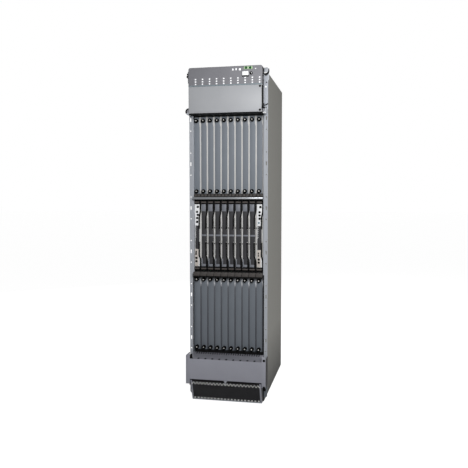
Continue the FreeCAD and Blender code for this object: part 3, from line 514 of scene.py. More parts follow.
# Moulded acrylic over a lamp: smooth, an even deep green that glows a little
lamp_green, _, lamp_shader, _ = new_surface("green lamp lens", Roughness=0.25, Emission_Strength=0.25)
lamp_shader.inputs["Base Color"].default_value = linear("#2f8f4a")
lamp_shader.inputs["Emission Color"].default_value = linear("#4fd070")
MODULES, MODULE_PITCH, MODULE_WIDTH, MODULE_HEIGHT = 9, 46.0, 45.0, 400.0
MODULE_ROWS, MODULE_RISE = 2, 995.0
AIR_HOLE_RADIUS, AIR_HOLE_PITCH, AIR_HOLE_COLUMNS, AIR_HOLE_ROWS, AIR_HOLE_LOWEST = 2.7, 7.4, 5, 24, 186.0
PULL_PROUD, PULL_LEFT, PULL_RIGHT = 4.0, 18.0, 27.0
MODULE_LAMPS, MODULE_LAMP_LEVEL, MODULE_SCREW_LEVEL = (12.5, 22.5, 32.5), 384.0, 24.0
low, high = (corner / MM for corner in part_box("power_supply_modules"))
module_face = high.y - PULL_PROUD
module_case = bmesh.new()
block(module_case, (0, low.y, 0), (MODULE_WIDTH, module_face, MODULE_HEIGHT), 0, 1.0)
module_hole = bmesh.new()
hole_profile = [(0, -0.6), (AIR_HOLE_RADIUS, -0.6), (AIR_HOLE_RADIUS, 0.12), (0, 0.12)]
turned(module_hole, (0, 0, 0), "y", hole_profile, 0, 6)
module_holes = in_rows(as_mesh(module_hole, "hole"), black_nylon, AIR_HOLE_COLUMNS, (AIR_HOLE_PITCH, 0, 0),
                       AIR_HOLE_ROWS, (0, 0, AIR_HOLE_PITCH))
holes_left = (MODULE_WIDTH - AIR_HOLE_PITCH * (AIR_HOLE_COLUMNS - 1)) / 2
module_holes.transform(Matrix.Translation((holes_left, module_face, AIR_HOLE_LOWEST)))
module_pull = bmesh.new()
pull_profile = [(0, 55), (2.2, 55), (PULL_PROUD, 61), (PULL_PROUD, 159), (2.2, 165), (0, 165)]
pull_outline = [(module_face + reach, level) for reach, level in pull_profile]
extruded(module_pull, pull_outline, "x", PULL_LEFT, PULL_RIGHT, 0, 0.8)
block(module_pull, (PULL_LEFT - 2.5, module_face - 0.5, 50), (PULL_RIGHT + 2.5, module_face + 0.5, 170),
      0, 0.3)
module_lamps = bmesh.new()
lamp_profile = [(0, -0.5), (2.4, -0.5), (2.4, 0.4), (1.4, 1), (0, 1)]
for place in MODULE_LAMPS:
    turned(module_lamps, (place, module_face, MODULE_LAMP_LEVEL), "y", lamp_profile, 0, 12)
module_screw = screw_head(5.0, 2.6, "y", 1)
module_screw.transform(Matrix.Translation((MODULE_WIDTH / 2, module_face, MODULE_SCREW_LEVEL)))
modules = bmesh.new()
module_parts = ((as_mesh(module_case, "case"), zinc), (module_holes, black_nylon),
                (as_mesh(module_pull, "pull"), black_nylon), (as_mesh(module_lamps, "lamps"), lamp_green),
                (module_screw, brass))
module_finishes = [zinc, black_nylon, lamp_green, brass]
for part, finish in module_parts:
    field = in_rows(part, finish, MODULES, (MODULE_PITCH, 0, 0), MODULE_ROWS, (0, 0, MODULE_RISE))
    merge(modules, field, module_finishes.index(finish), (low.x, 0, low.z))
finished("power_modules", modules, module_finishes, "chassis", "power_supply_modules")


# Craft interface. A steel box across the top with round upper corners; its face holds ten columns of three
# white lamps, a pair of green sockets in one shell, a white cover plate, a jack and a few small lenses.


def clear_lens(name, dark, light, glow):
    """Moulded acrylic lens: glossy, evenly lit from behind, with faint swirls from the mould."""
    material, tree, shader, where = new_surface(name, Roughness=0.22, Emission_Strength=glow)
    swirl = add(tree, "ShaderNodeTexNoise", {"Vector": where, "Scale": per_metre(5), "Detail": 2.0})
    shade_between(tree, shader, swirl.outputs["Fac"], dark, light)
    shader.inputs["Emission Color"].default_value = linear(dark)
    return material


craft_coat = powder_coat("dark grey powder-coated steel", "#838388", "#8e8e94", gloss=0.5, shine=0.25)
# A painted highlight: the blue-grey strip along the box's lower edge stands for a lit edge
edge_highlight = powder_coat("blue-grey steel with painted highlight", "#87949b", "#929fa6", gloss=0.6, shine=0.1)
white_lens = clear_lens("white acrylic lens", "#f2f4f6", "#ffffff", 0.35)
green_shell = moulded_nylon("pale green nylon", "#b4cfa6", "#c2dab4")
green_socket = moulded_nylon("dark green nylon", "#1c5228", "#2a6a35")
low, high = (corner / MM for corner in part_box("craft_interface"))
LAMP_FIRST, LAMP_PITCH, LAMP_LOWEST, LAMP_ROWS, LAMP_STEP = -178.0, 42.5, 1903.0, 3, 14.2
LENS_PROUD, SHELL_PROUD, SUNK = 0.9, 2.4, 0.4
SMALL_LENSES = ((46.7, 1980.6, 7, 13), (66.2, 1981.5, 8, 12), (88.7, 1980.0, 12, 12), (181, 1981, 6, 6))
SOCKET_MIDDLES, SOCKET_LEVEL = (125.6, 150.2), 1987.0
JACK_ACROSS, JACK_LEVEL, TIP_ACROSS, TIP_LEVEL = 155.3, 1956.0, 156.6, 1957.4
craft = softened("craft_interface", 1.4)
# Painted shade: the box's sides take black nylon
for face in craft.faces:
    if abs(face.normal.x) > 0.9:
        face.material_index = 5
lamp = bmesh.new()
block(lamp, (-4.2, -LENS_PROUD, -3.8), (4.2, SUNK, 3.8), 0, 0.8)
lamp_field = in_rows(as_mesh(lamp, "lamp"), white_lens, CARDS, (LAMP_PITCH, 0, 0),
                     LAMP_ROWS, (0, 0, LAMP_STEP))
merge(craft, lamp_field, 1, (LAMP_FIRST, low.y, LAMP_LOWEST))
for x, z, width, height in SMALL_LENSES:
    block(craft, (x - width / 2, low.y - LENS_PROUD, z - height / 2),
          (x + width / 2, low.y + SUNK, z + height / 2), 1, 0.8)
# The socket shell, the black frame of the cover plate that shows below it as painted shadow, the plate itself
# in the glowing lens, a painted glow, and the blue-grey strip along the lower edge, a painted highlight
for left, right, bottom, top, proud, slot, bevel in (
        (112.0, 163.0, 1979.0, 1995.0, SHELL_PROUD, 3, 2.0),
        (100.5, 141.5, 1937.0, 1967.5, 0.7, 5, 0.5),
        (103.0, 139.6, 1944.8, 1967.2, 2.6, 1, 1.0),
        (low.x + 2, high.x - 2, low.z + 0.2, low.z + 6.0, 0.4, 2, 0.2)):
    block(craft, (left, low.y - proud, bottom), (right, low.y + SUNK, top), slot, bevel)
socket_profile = [(0, 0.5), (7, 0.5), (7, -1.6), (5.4, -2.4), (4.2, -1.2), (0, -1.2)]
for x in SOCKET_MIDDLES:
    turned(craft, (x, low.y - SHELL_PROUD, SOCKET_LEVEL), "y", socket_profile, 4)
jack_profile = [(0, 0.5), (9, 0.5), (9, -3), (7.2, -4.4), (4.8, -4.4), (4.2, -1), (0, -1)]
turned(craft, (JACK_ACROSS, low.y, JACK_LEVEL), "y", jack_profile, 5)
# The jack's tip takes the glowing lens, a painted glow
tip_profile = [(0, 0.2), (2.4, 0.2), (2.4, -1.8), (0, -2.2)]
turned(craft, (TIP_ACROSS, low.y - 1.0, TIP_LEVEL), "y", tip_profile, 1, 16)
craft_finishes = [craft_coat, white_lens, edge_highlight, green_shell, green_socket, black_nylon]
finished("craft_panel", craft, craft_finishes, "chassis", "craft_interface")


# Upper fan tray. A plain pale steel box in front, with a screwed panel, hides a plated deck with four axial
# fans; its sides and a strip on its right edge are black as painted shade. A black seal under the box closes
# the gap to the cards.

# Turns: the tree repeats its mesh round an axis
turn_tree, turn_sizes = new_tree("turns", {"Count": "Int", "Axis": "Vector"})
stack = add(turn_tree, "GeometryNodeMeshLine", {"Count": turn_sizes["Count"], "Offset": (0.0, 0.0, 0.0)})
share = add(turn_tree, "ShaderNodeMath", {0: 2 * math.pi, 1: turn_sizes["Count"]}, operation="DIVIDE")
angle = add(turn_tree, "ShaderNodeMath", {0: add(turn_tree, "GeometryNodeInputIndex").outputs[0],
                                          1: share.outputs[0]}, operation="MULTIPLY")
turn = add(turn_tree, "FunctionNodeAxisAngleToRotation", {"Axis": turn_sizes["Axis"],
                                                          "Angle": angle.outputs[0]})
copies = add(turn_tree, "GeometryNodeInstanceOnPoints", {"Points": stack.outputs[0],
                                                         "Instance": turn_sizes["Geometry"],
                                                         "Rotation": turn.outputs[0]})
close_tree(turn_tree, turn_sizes, copies.outputs[0])


def fan_blade(inner, outer, height):
    """One fan blade: a thin sheet that runs out from the hub, leans back and rises with its chord."""
    bm = bmesh.new()
    spans, chords = 5, 4
    sheet = []
    for span in range(spans + 1):
        radius = inner + (outer - inner) * span / spans
        for chord in range(chords + 1):
            bend = 0.62 * chord / chords + 0.28 * span / spans
            rise = height * (chord / chords - 0.5) * (1 - 0.35 * span / spans)
            sheet.append(bm.verts.new((radius * math.cos(bend), radius * math.sin(bend), rise)))
    for span in range(spans):
        for chord in range(chords):
            first = span * (chords + 1) + chord
            after = first + chords + 1
            bm.faces.new([sheet[first], sheet[first + 1], sheet[after + 1], sheet[after]])
    bmesh.ops.solidify(bm, geom=bm.faces, thickness=1.8)
    bmesh.ops.recalc_face_normals(bm, faces=bm.faces)
    return as_mesh(bm, "fan_blade")


FAN_BLADES, BLADE_HEIGHT, DECK_HEIGHT = 9, 34.0, 64.0
FAN_COLUMNS, FAN_ROWS = (-107.25, 107.25), (-231.75, 3.25)
HUB_RADIUS, BLADE_RADIUS, RING_INNER, RING_OUTER = 37.0, 81.0, 83.2, 92.0
fan_blades = grown(turn_tree, fan_blade(HUB_RADIUS - 1, BLADE_RADIUS, BLADE_HEIGHT), black_nylon,
                   {"Count": FAN_BLADES, "Axis": (0, 0, 1)})


def fans(bm, deck_low, slot):
    """Four axial fans in a tray's deck, each with a round inlet ring, a hub and nine blades."""
    for x in FAN_COLUMNS:
        for y in FAN_ROWS:
            ring = [(RING_INNER, -0.8), (RING_OUTER, -0.8), (RING_OUTER + 1, 0.4), (RING_INNER + 1.5, 6),
                    (RING_INNER, 6)]
            turned(bm, (x, y, deck_low), "z", ring, slot, 40)
            turned(bm, (x, y, deck_low + DECK_HEIGHT), "z", [(wide, -rise) for wide, rise in ring], slot, 40)
            hub = [(0, -0.6), (HUB_RADIUS - 4, -0.6), (HUB_RADIUS, 3), (HUB_RADIUS, DECK_HEIGHT - 3),
                   (HUB_RADIUS - 4, DECK_HEIGHT + 0.6), (0, DECK_HEIGHT + 0.6)]
            turned(bm, (x, y, deck_low), "z", hub, slot, 32)
            merge(bm, fan_blades, slot, (x, y, deck_low + DECK_HEIGHT * 0.5))


light_coat = powder_coat("pale grey powder-coated steel", "#aeb0b4", "#b8babe")
low, high = (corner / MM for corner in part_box("upper_fan_tray"))
COVER_BACK, CATCH_LEVELS = -374.0, (1797.0, 1840.0)
upper_tray = softened("upper_fan_tray", 0.9)
# Faces behind the box take the plated deck; the box's sides take black nylon, painted shade
for face in upper_tray.faces:
    if face.calc_center_median().y > COVER_BACK:
        face.material_index = 1
    elif abs(face.normal.x) > 0.9:
        face.material_index = 2
fans(upper_tray, low.z, 2)
block(upper_tray, (low.x + 4, low.y - 1.2, low.z + 7), (high.x - 9, low.y + 0.4, high.z - 6), 0, 0.8)
# A black strip down the box's right edge, painted shade
block(upper_tray, (high.x - 4.5, low.y - 0.5, low.z + 6), (high.x + 0.3, low.y + 3, high.z - 3), 2, 0.4)
screw_profile = [(0, 0.3), (6.6, 0.3), (6.6, -1.6), (5.4, -2.4), (2.4, -2.4), (2, -1.2), (0, -1.2)]
for level in (low.z + 10, high.z - 9):
    turned(upper_tray, (high.x - 14, low.y - 1.2, level), "y", screw_profile, 2, 16)
for side in (low.x, high.x):
    for level in CATCH_LEVELS:
        block(upper_tray, (side - 0.8, low.y + 30, level - 6), (side + 0.8, low.y + 52, level + 6), 2, 0.4)
seal_outline = [(low.x + 14, low.z), (high.x - 14, low.z), (high.x - 1, low.z - 2), (high.x - 1, low.z - 6),
                (high.x - 8, low.z - 6), (high.x - 18, low.z - 3), (low.x + 18, low.z - 3),
                (low.x + 8, low.z - 6), (low.x + 1, low.z - 6), (low.x + 1, low.z - 2)]
extruded(upper_tray, seal_outline, "y", low.y + 3, low.y + 78, 2, 0.8)
finished("upper_fan_tray_box", upper_tray, [light_coat, zinc, black_nylon], "upper_fan_tray",
         "upper_fan_tray")


# Flange brackets. Stepped steel brackets, painted like the flanges and screwed to them beside the top box.
# The right one ends in a rounded hook over a black arc of painted shadow, with a white tab at its foot as a
# painted highlight; the left one ends in a black latch. Each has a bumper at its foot; the left one is black
# over most of its face and the right one has a black patch, both painted shade.


def arc(centre, radius, start, end, side, steps=14):
    """Points along an arc. Its angles count upwards from the way that the side faces."""
    turns = [math.radians(start + (end - start) * step / steps) for step in range(steps + 1)]
    return [(centre[0] + radius * math.cos(turn) * side, centre[1] + radius * math.sin(turn))
            for turn in turns]


white_plate = powder_coat("white powder-coated steel", "#f0f0ee", "#f8f8f6")
low, _ = (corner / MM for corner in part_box("flange_brackets"))
BRACKET_INNER, BRACKET_WAIST, BRACKET_WIDE = 222.2, 240.2, 248.2
BRACKET_TOP, BRACKET_STEP = 1997.0, 1927.0
BRACKET_BACK, BRACKET_FRONT, HOOK_FRONT, BUMPER_FRONT = -373.75, -377.75, -401.75, -455.75
RETURN_FRONT, RETURN_SHEET, RETURN_LOWEST, RETURN_TOP = -419.0, 1.6, 1788.0, 1955.0
HOOK_LEVEL, BUMPER_LEVEL, BUMPER_RADIUS = 1982.0, low.z + 19, 20.5
BLACK_STUDS, WHITE_STUD_ACROSS, WHITE_STUD_LEVEL = ((233.7, 1914.8, 4.0), (231.0, 1766, 5.0)), 229.0, 1890.0
white_stud = [(0, 0.5), (5.5, 0.5), (5.5, -1.4), (3, -2), (0, -2)]
brackets = bmesh.new()
for side in (-1, 1):
    inner = BRACKET_INNER * side
    outline = [(BRACKET_INNER, low.z), (BRACKET_WAIST, low.z), (BRACKET_WAIST, BRACKET_STEP),
               (BRACKET_WIDE, BRACKET_STEP), (BRACKET_WIDE, BRACKET_TOP), (BRACKET_INNER, BRACKET_TOP)]
    extruded(brackets, [(x * side, z) for x, z in outline], "y", BRACKET_FRONT, BRACKET_BACK, 0, 0.9)
    block(brackets, (inner, RETURN_FRONT, RETURN_LOWEST),
          (inner + RETURN_SHEET * side, BRACKET_FRONT, RETURN_TOP), 0, 0.4)
    for x, z, radius in BLACK_STUDS:
        profile = [(0, 0.5), (radius, 0.5), (radius, -1.5), (0, -2)]
        turned(brackets, (x * side, BRACKET_FRONT, z), "y", profile, 1, 18)
    turned(brackets, (WHITE_STUD_ACROSS * side, BRACKET_FRONT, WHITE_STUD_LEVEL), "y", white_stud, 2)
right_hook = arc((BRACKET_INNER + 1.8, HOOK_LEVEL + 3), 22.5, -90, 30, 1)
right_hook += [(BRACKET_INNER, right_hook[-1][1]), (BRACKET_INNER, right_hook[0][1])]
extruded(brackets, right_hook, "y", HOOK_FRONT, HOOK_FRONT + 6, 0, 1.2)
# A black arc under the hook, painted shadow
hook_shadow = arc((BRACKET_INNER, HOOK_LEVEL), 28.0, -90, 12, 1)
hook_shadow += [(BRACKET_INNER, hook_shadow[-1][1])]
extruded(brackets, hook_shadow, "y", HOOK_FRONT + 5, BRACKET_FRONT, 1, 1.0)
# A white tab at the foot of the hook, a painted highlight
block(brackets, (BRACKET_INNER, HOOK_FRONT - 1.4, 1964.5), (236.0, HOOK_FRONT + 1, 1970.5), 2, 0.6)
for left, right, bottom, top in ((-247.0, -224.0, 1970.0, 1982.0), (-249.5, -241.0, 1956.0, 1967.5)):
    block(brackets, (left, HOOK_FRONT, bottom), (right, BRACKET_FRONT, top), 1, 1.4)
right_bumper = (BRACKET_INNER, BUMPER_LEVEL)
extruded(brackets, arc(right_bumper, BUMPER_RADIUS, -90, 90, 1), "y", BUMPER_FRONT, BRACKET_FRONT, 0, 1.6)
extruded(brackets, arc(right_bumper, 14.0, -90, 60, 1), "y", BUMPER_FRONT - 0.6, BUMPER_FRONT + 1, 3, 0.3)
# A black patch on the right bumper, painted shade
bumper_shade = [(222.2, 1752), (233, 1750), (239, 1756), (230, 1764), (222.2, 1766)]
extruded(brackets, bumper_shade, "y", BUMPER_FRONT - 1.0, BUMPER_FRONT + 1, 1, 0.4)
block(brackets, (BRACKET_INNER, BUMPER_FRONT - 1.2, low.z - 0.5), (241.0, BUMPER_FRONT + 10, low.z + 4.0),
      2, 0.6)
right_latch = [(226.0, 1780.0), (240.0, 1786.0), (244.0, 1791.5), (237.0, 1791.0), (227.0, 1786.0)]
extruded(brackets, right_latch, "y", BRACKET_FRONT - 6, BRACKET_FRONT, 1, 0.8)
# The left bumper is black over most of its face as painted shade, with a grey middle
left_bumper = (-BRACKET_INNER, BUMPER_LEVEL)
for radius, start, end, front, back, slot, bevel in (
        (BUMPER_RADIUS, -35, 90, BUMPER_FRONT, BRACKET_FRONT, 1, 1.6),
        (11.0, -35, 90, BUMPER_FRONT - 0.6, BUMPER_FRONT + 1, 3, 0.3),
        (BUMPER_RADIUS, -90, -35, BUMPER_FRONT, BRACKET_FRONT, 0, 1.0)):
    sector = arc(left_bumper, radius, start, end, -1) + [left_bumper]
    extruded(brackets, sector, "y", front, back, slot, bevel)
bracket_finishes = [flange_coat, black_nylon, white_plate, craft_coat]
finished("bracket_pair", brackets, bracket_finishes, "chassis", "flange_brackets")


# Line cards. Twenty blank cards: a painted steel face over a wider plate whose edge shows as a strip, pale on
# the upper cards, a knurled resin knob with a steel screw at each end, and a plated filler sheet behind that
# slides in. On the lower cards the face is darker and the strip dark but for its upper end, both painted
# shade.


def shaded_plate(name, end_level):
    """A plate coloured dark as painted shade, paler only near its upper end where the light reaches it."""
    material, tree, shader, where = new_surface(name, Metallic=0.3, Roughness=0.5)
    level = add(tree, "ShaderNodeSeparateXYZ", {"Vector": where}).outputs["Z"]
    grain = add(tree, "ShaderNodeTexNoise", {"Vector": where, "Scale": per_metre(6), "Detail": 3.0})
    spread = add(tree, "ShaderNodeMath", {0: grain.outputs["Fac"], 1: 24 * MM, 2: level},
                 operation="MULTIPLY_ADD")
    lit_end = add(tree, "ShaderNodeMapRange", {"Value": spread.outputs[0], "From Min": (end_level - 50) * MM,
                                            "From Max": (end_level - 25) * MM})
    shade_between(tree, shader, lit_end.outputs["Result"], "#4c4f55", "#a2a4a8")
    return material


upper_card_coat = powder_coat("slate grey powder-coated steel", "#7b8189", "#858b93", gloss=0.52, shine=0.2)
knob_phenolic = moulded_nylon("black phenolic resin", "#040404", "#070707", rough=0.62, shine=0.06)
knob_steel = plated_steel("satin nickel-plated steel", "#d6d5d2", "#e2e1de", rough=0.45, metal=0.2)
pale_strip = powder_coat("pale powder-coated edge", "#d0cfcd", "#dad9d7", gloss=0.6, shine=0.15)
KNOB_RIDGES = 20
knob_ridge = bmesh.new()
block(knob_ridge, (10.9, -16.5, -0.9), (12.0, -3.5, 0.9), 0)
knob_ridges = grown(turn_tree, as_mesh(knob_ridge, "ridge"), knob_phenolic,
                    {"Count": KNOB_RIDGES, "Axis": (0, 1, 0)})
knob = bmesh.new()
knob_profile = [(0, 0.2), (12, 0.2), (12, -2.2), (11.2, -3.2), (11.2, -17.4), (9.8, -19.4), (5.0, -20),
                (4.0, -18.6), (0, -18.6)]
turned(knob, (0, 0, 0), "y", knob_profile, 0, 24)
merge(knob, knob_ridges, 0)
knob_body = as_mesh(knob, "knob")
knob_centre = bmesh.new()
centre_profile = [(0, -18), (3.7, -18), (3.7, -19.8), (3.0, -20.8), (0, -20.8)]
turned(knob_centre, (0, 0, 0), "y", centre_profile, 0, 16)
knob_screw = as_mesh(knob_centre, "knob_screw")
FACE_WIDTH, FACE_PROUD, KNOB_LENGTH, KNOB_INSET, KNOB_SHIFT = 34.4, 3.0, 20.0, 14.8, 2.0
PLATE_SHEET, CARRIER_LEFT, CARRIER_SHEET, CARD_DEPTH = 3.0, 12.7, 2.0, 514.0
RIB_COUNT, RIB_PITCH, RIB_LOWEST = 4, 104.0, 70.0
SHOULDER_START, SHOULDER_END, KNOB_RISE = 62.0, 42.0, 0.4


def line_card(node, coat, strip, shoulder, rise):
    """A blank card built to its solid's box. Its front rises over the shelf, narrower by the shoulder."""
    low, high = (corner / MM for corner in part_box(node))
    top = high.z + rise
    plate = low.y + KNOB_LENGTH + FACE_PROUD
    bm = bmesh.new()
    block(bm, (low.x, plate, low.z), (high.x, plate + PLATE_SHEET, top), 1, 0.5)
    right = low.x + FACE_WIDTH
    outline = [(low.x, low.z), (right, low.z), (right, top - SHOULDER_START),
               (right - shoulder, top - SHOULDER_END), (right - shoulder, top), (low.x, top)]
    extruded(bm, outline, "y", plate - FACE_PROUD, plate, 0, 1.1)
    left, back = low.x + CARRIER_LEFT, plate + PLATE_SHEET
    block(bm, (left, back, low.z + 0.2), (left + CARRIER_SHEET, back + CARD_DEPTH, high.z - 0.2), 3, 0.3)
    rib = bmesh.new()
    block(rib, (-2.4, 60, -7), (0, 470, 7), 0, 2.0)
    ribs = in_rows(as_mesh(rib, "rib"), zinc, 1, (0, 0, 0), RIB_COUNT, (0, 0, RIB_PITCH))
    merge(bm, ribs, 3, (left + 0.2, back, low.z + RIB_LOWEST))
    step = (0, 0, high.z - low.z - KNOB_INSET * 2 + KNOB_RISE * rise)
    place = (low.x + FACE_WIDTH / 2 - KNOB_SHIFT, plate - FACE_PROUD, low.z + KNOB_INSET)
    merge(bm, in_rows(knob_body, knob_phenolic, 1, (0, 0, 0), 2, step), 2, place)
    merge(bm, in_rows(knob_screw, knob_steel, 1, (0, 0, 0), 2, step), 4, place)
    finished(f"{node}_card", bm, [coat, strip, knob_phenolic, zinc, knob_steel], node, node)


LOWER_CARDS_TOP, LOWER_SHOULDER, UPPER_SHOULDER, UPPER_RISE = 751.0, 1.0, 4.0, 13.0
shaded_strip = shaded_plate("steel with painted shade", LOWER_CARDS_TOP)
for number in range(1, CARDS + 1):
    line_card(f"upper_line_card_{number:02d}", upper_card_coat, pale_strip, UPPER_SHOULDER, UPPER_RISE)
    # The lower cards: a darker slate face and a dark strip, painted shade
    line_card(f"lower_line_card_{number:02d}", lower_card_coat, shaded_strip, LOWER_SHOULDER, 0.0)


# Cable managers. Two folded steel troughs across the front between the cages, with dark nylon finger plates
# that keep the cords apart; the upper one has a bright rolled lip, the lower one a lip of dark plates.

manager_nylon = moulded_nylon("brown-black nylon", "#474443", "#55514f")
bright_zinc = plated_steel("bright zinc-plated steel", "#999ca0", "#adb0b4", rough=0.34, run="X")
low, high = (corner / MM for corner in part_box("cable_managers"))
TROUGH_RISE, FINGER_BACK, FINGER_LEVEL = 33.5, 18.0, 16.5
managers = softened("cable_managers", 0.5)
finger = bmesh.new()
block(finger, (-19.4, -1.6, 0), (-1.2, 0.6, 15.5), 0, 1.2)
block(finger, (1.2, -1.6, 0), (19.4, 0.6, 15.5), 0, 1.2)
finger_plates = in_rows(as_mesh(finger, "finger"), manager_nylon, CARDS, (CARD_PITCH, 0, 0))
lip_plate = bmesh.new()
block(lip_plate, (-20.3, -2.0, 9.0), (20.3, 0.4, 31.0), 0, 1.4)
lip_plates = in_rows(as_mesh(lip_plate, "lip_plate"), manager_nylon, CARDS, (CARD_PITCH, 0, 0))
first_middle = cage_left + CARD_PITCH / 2
upper_lip = high.z - TROUGH_RISE
for floor_level in (low.z, upper_lip):
    merge(managers, finger_plates, 1, (first_middle, low.y + FINGER_BACK, floor_level + FINGER_LEVEL))
merge(managers, lip_plates, 1, (first_middle, low.y, low.z))
roll = [(low.y - 1.8, upper_lip + 1), (low.y + 0.4, upper_lip), (low.y + 0.4, upper_lip + 14.5),
        (low.y - 1.8, upper_lip + 13.5), (low.y - 3.2, upper_lip + 10.5), (low.y - 3.2, upper_lip + 4)]
extruded(managers, roll, "x", low.x + 1, high.x - 1, 2, 0.6)
finished("cable_troughs", managers, [black_nylon, manager_nylon, bright_zinc], "chassis",
         "cable_managers")


# Fabric boards. Each has a pale coated plate, a waisted dark cover with a grey block on top, a grey foot and
# a grey cross bar, black nylon clips that hold the lever barrels, and behind them a circuit board with parts
# and heat sinks.

# Board parts: the tree sets blocks of random sizes on some of the points of an upright grid
parts_tree, part_sizes = new_tree("board_parts", {"Depth": "Float", "Height": "Float", "Columns": "Int",
                                                  "Rows": "Int", "Smallest": "Vector", "Largest": "Vector",
                                                  "Share": "Float", "Seed": "Int"})
spots = add(parts_tree, "GeometryNodeMeshGrid", {"Size X": part_sizes["Depth"],
                                                 "Size Y": part_sizes["Height"],
                                                 "Vertices X": part_sizes["Columns"],
                                                 "Vertices Y": part_sizes["Rows"]})
upright = add(parts_tree, "GeometryNodeTransform", {"Geometry": spots.outputs["Mesh"],
                                                    "Rotation": (math.pi / 2, 0, math.pi / 2)})
extent = add(parts_tree, "FunctionNodeRandomValue", {0: part_sizes["Smallest"], 1: part_sizes["Largest"],
                                                     "Seed": part_sizes["Seed"]}, data_type="FLOAT_VECTOR")
chosen = add(parts_tree, "FunctionNodeRandomValue", {6: part_sizes["Share"], "Seed": part_sizes["Seed"]},
             data_type="BOOLEAN")
copies = add(parts_tree, "GeometryNodeInstanceOnPoints", {"Points": upright.outputs[0],
                                                          "Selection": chosen.outputs[3],
                                                          "Instance": part_sizes["Geometry"],
                                                          "Scale": extent.outputs[0]})
close_tree(parts_tree, part_sizes, copies.outputs[0])

chip = bmesh.new()
block(chip, (0, -0.5, -0.5), (1, 0.5, 0.5), 0, 0.04)
chip_mesh = as_mesh(chip, "chip")
fin = bmesh.new()
block(fin, (0, -48, -0.8), (17, 48, 0.8), 0, 0.3)
heat_fins = in_rows(as_mesh(fin, "fin"), zinc, 1, (0, 0, 0), 16, (0, 0, 5.4))
board_laminate = laminate("board laminate", "#14492f", "#2f7350", ("Y", "Z"))
chip_epoxy = moulded_nylon("black epoxy", "#121213", "#1c1c1e")
anodised = plated_steel("anodised aluminium", "#7f8488", "#94999d", rough=0.42)
BOARD_HEIGHT, SINK_LEVELS = 430.0, (70, 270)
PARTS_FIELD = {"Depth": 430.0, "Height": 370.0, "Columns": 12, "Rows": 11, "Smallest": (1.5, 7, 6),
               "Largest": (5, 26, 24), "Share": 0.7}


def board_behind(bm, left, plate, base, seed, laminate_slot, chip_slot, metal_slot):
    """The circuit board behind a centre card's plate, with parts and two finned heat sinks."""
    inner = left + 13.0
    start = plate + PLATE_SHEET
    block(bm, (inner, start, base + 0.3), (inner + 2, start + 0.6, base + BOARD_HEIGHT - 0.3), laminate_slot)
    block(bm, (inner, start + 0.5, base - 4), (inner + 2, start + CARD_DEPTH, base + BOARD_HEIGHT + 4),
          laminate_slot, 0.2)
    chips = grown(parts_tree, chip_mesh, chip_epoxy, {**PARTS_FIELD, "Seed": seed})
    merge(bm, chips, chip_slot, (inner + 1.9, start + 260, base + BOARD_HEIGHT / 2))
    for level in SINK_LEVELS:
        block(bm, (inner + 2, start + 190, base + level - 4), (inner + 6, start + 290, base + level + 86),
              metal_slot, 0.5)
        merge(bm, heat_fins, metal_slot, (inner + 5.5, start + 240, base + level))


STEP_INSET, LOW_WAIST_INSET, HIGH_WAIST_INSET, TIP_INSET, COVER_INSET = 67.5, 91.5, 105.5, 176.5, 24.0
WIDE_LEFT, WIDE_RIGHT, WAIST_LEFT, WAIST_RIGHT = 0.3, 33.3, 2.0, 25.3
GREY_RIGHT = 28.0
AXLE_PROUD, AXLE_INSET, BARREL_BORE, CLIP_WALL, CLIP_NOSE = 9.0, 11.5, 7.88, 1.6, 3.0
CLIP_LEFT, CLIP_RIGHT = 12.0, 24.0


def waisted(left, base):
    """The outline of a centre card's cover: narrow beside the levers, wide at the ends and in the middle."""
    lower = [(WIDE_LEFT, STEP_INSET), (WIDE_LEFT, COVER_INSET), (WIDE_RIGHT, COVER_INSET),
             (WIDE_RIGHT, STEP_INSET), (WAIST_RIGHT, LOW_WAIST_INSET), (WAIST_RIGHT, TIP_INSET),
             (WIDE_RIGHT, TIP_INSET)]
    upper = [(WIDE_RIGHT, TIP_INSET), (WAIST_RIGHT, TIP_INSET), (WAIST_RIGHT, HIGH_WAIST_INSET),
             (WIDE_RIGHT, STEP_INSET), (WIDE_RIGHT, COVER_INSET), (WIDE_LEFT, COVER_INSET),
             (WIDE_LEFT, STEP_INSET)]
    waist = [(WAIST_LEFT, BOARD_HEIGHT - HIGH_WAIST_INSET), (WAIST_LEFT, LOW_WAIST_INSET)]
    outline = lower + [(x, BOARD_HEIGHT - inset) for x, inset in upper] + waist
    return [(left + x, base + z) for x, z in outline]


def barrel_clip(bm, left, plate, level, slot):
    """A nylon clip with a round bore open to the front."""
    axle = plate - AXLE_PROUD
    half = BARREL_BORE + CLIP_WALL
    front = axle - CLIP_NOSE
    mouth = math.acos(-CLIP_NOSE / BARREL_BORE)
    bore = [(axle + BARREL_BORE * math.cos(turn), level + BARREL_BORE * math.sin(turn))
            for turn in (mouth - 2 * mouth * step / 16 for step in range(17))]
    walls = [(front, level - half), (plate, level - half), (plate, level + half), (front, level + half)]
    extruded(bm, walls + bore, "x", left + CLIP_LEFT, left + CLIP_RIGHT, slot)


dark_coat = powder_coat("charcoal powder-coated steel", "#3e3e41", "#474749", gloss=0.5, shine=0.12)
fabric_coat = powder_coat("mid grey powder-coated steel", "#787b83", "#82858d")
HIGH_STEP, HIGH_END = BOARD_HEIGHT - STEP_INSET, BOARD_HEIGHT - COVER_INSET
# Left, right, how far in front, lower and upper end and rounding of the block on top, its raised middle, the
# foot, its upright and the cross bar
GREY_BLOCKS = ((0.5, GREY_RIGHT, 0.0, HIGH_STEP + 0.5, HIGH_END, 0.9),
               (6.0, 23.0, 0.5, HIGH_STEP + 7, HIGH_END - 8, 0.7),
               (0.5, GREY_RIGHT, 0.0, COVER_INSET, COVER_INSET + 15, 0.9),
               (0.5, 7.5, 0.0, COVER_INSET + 14, STEP_INSET + 6, 0.9),
               (WAIST_LEFT, WIDE_RIGHT, 0.5, 211.0, 221.0, 1.2))
TAB_LEVELS = (166, 262)


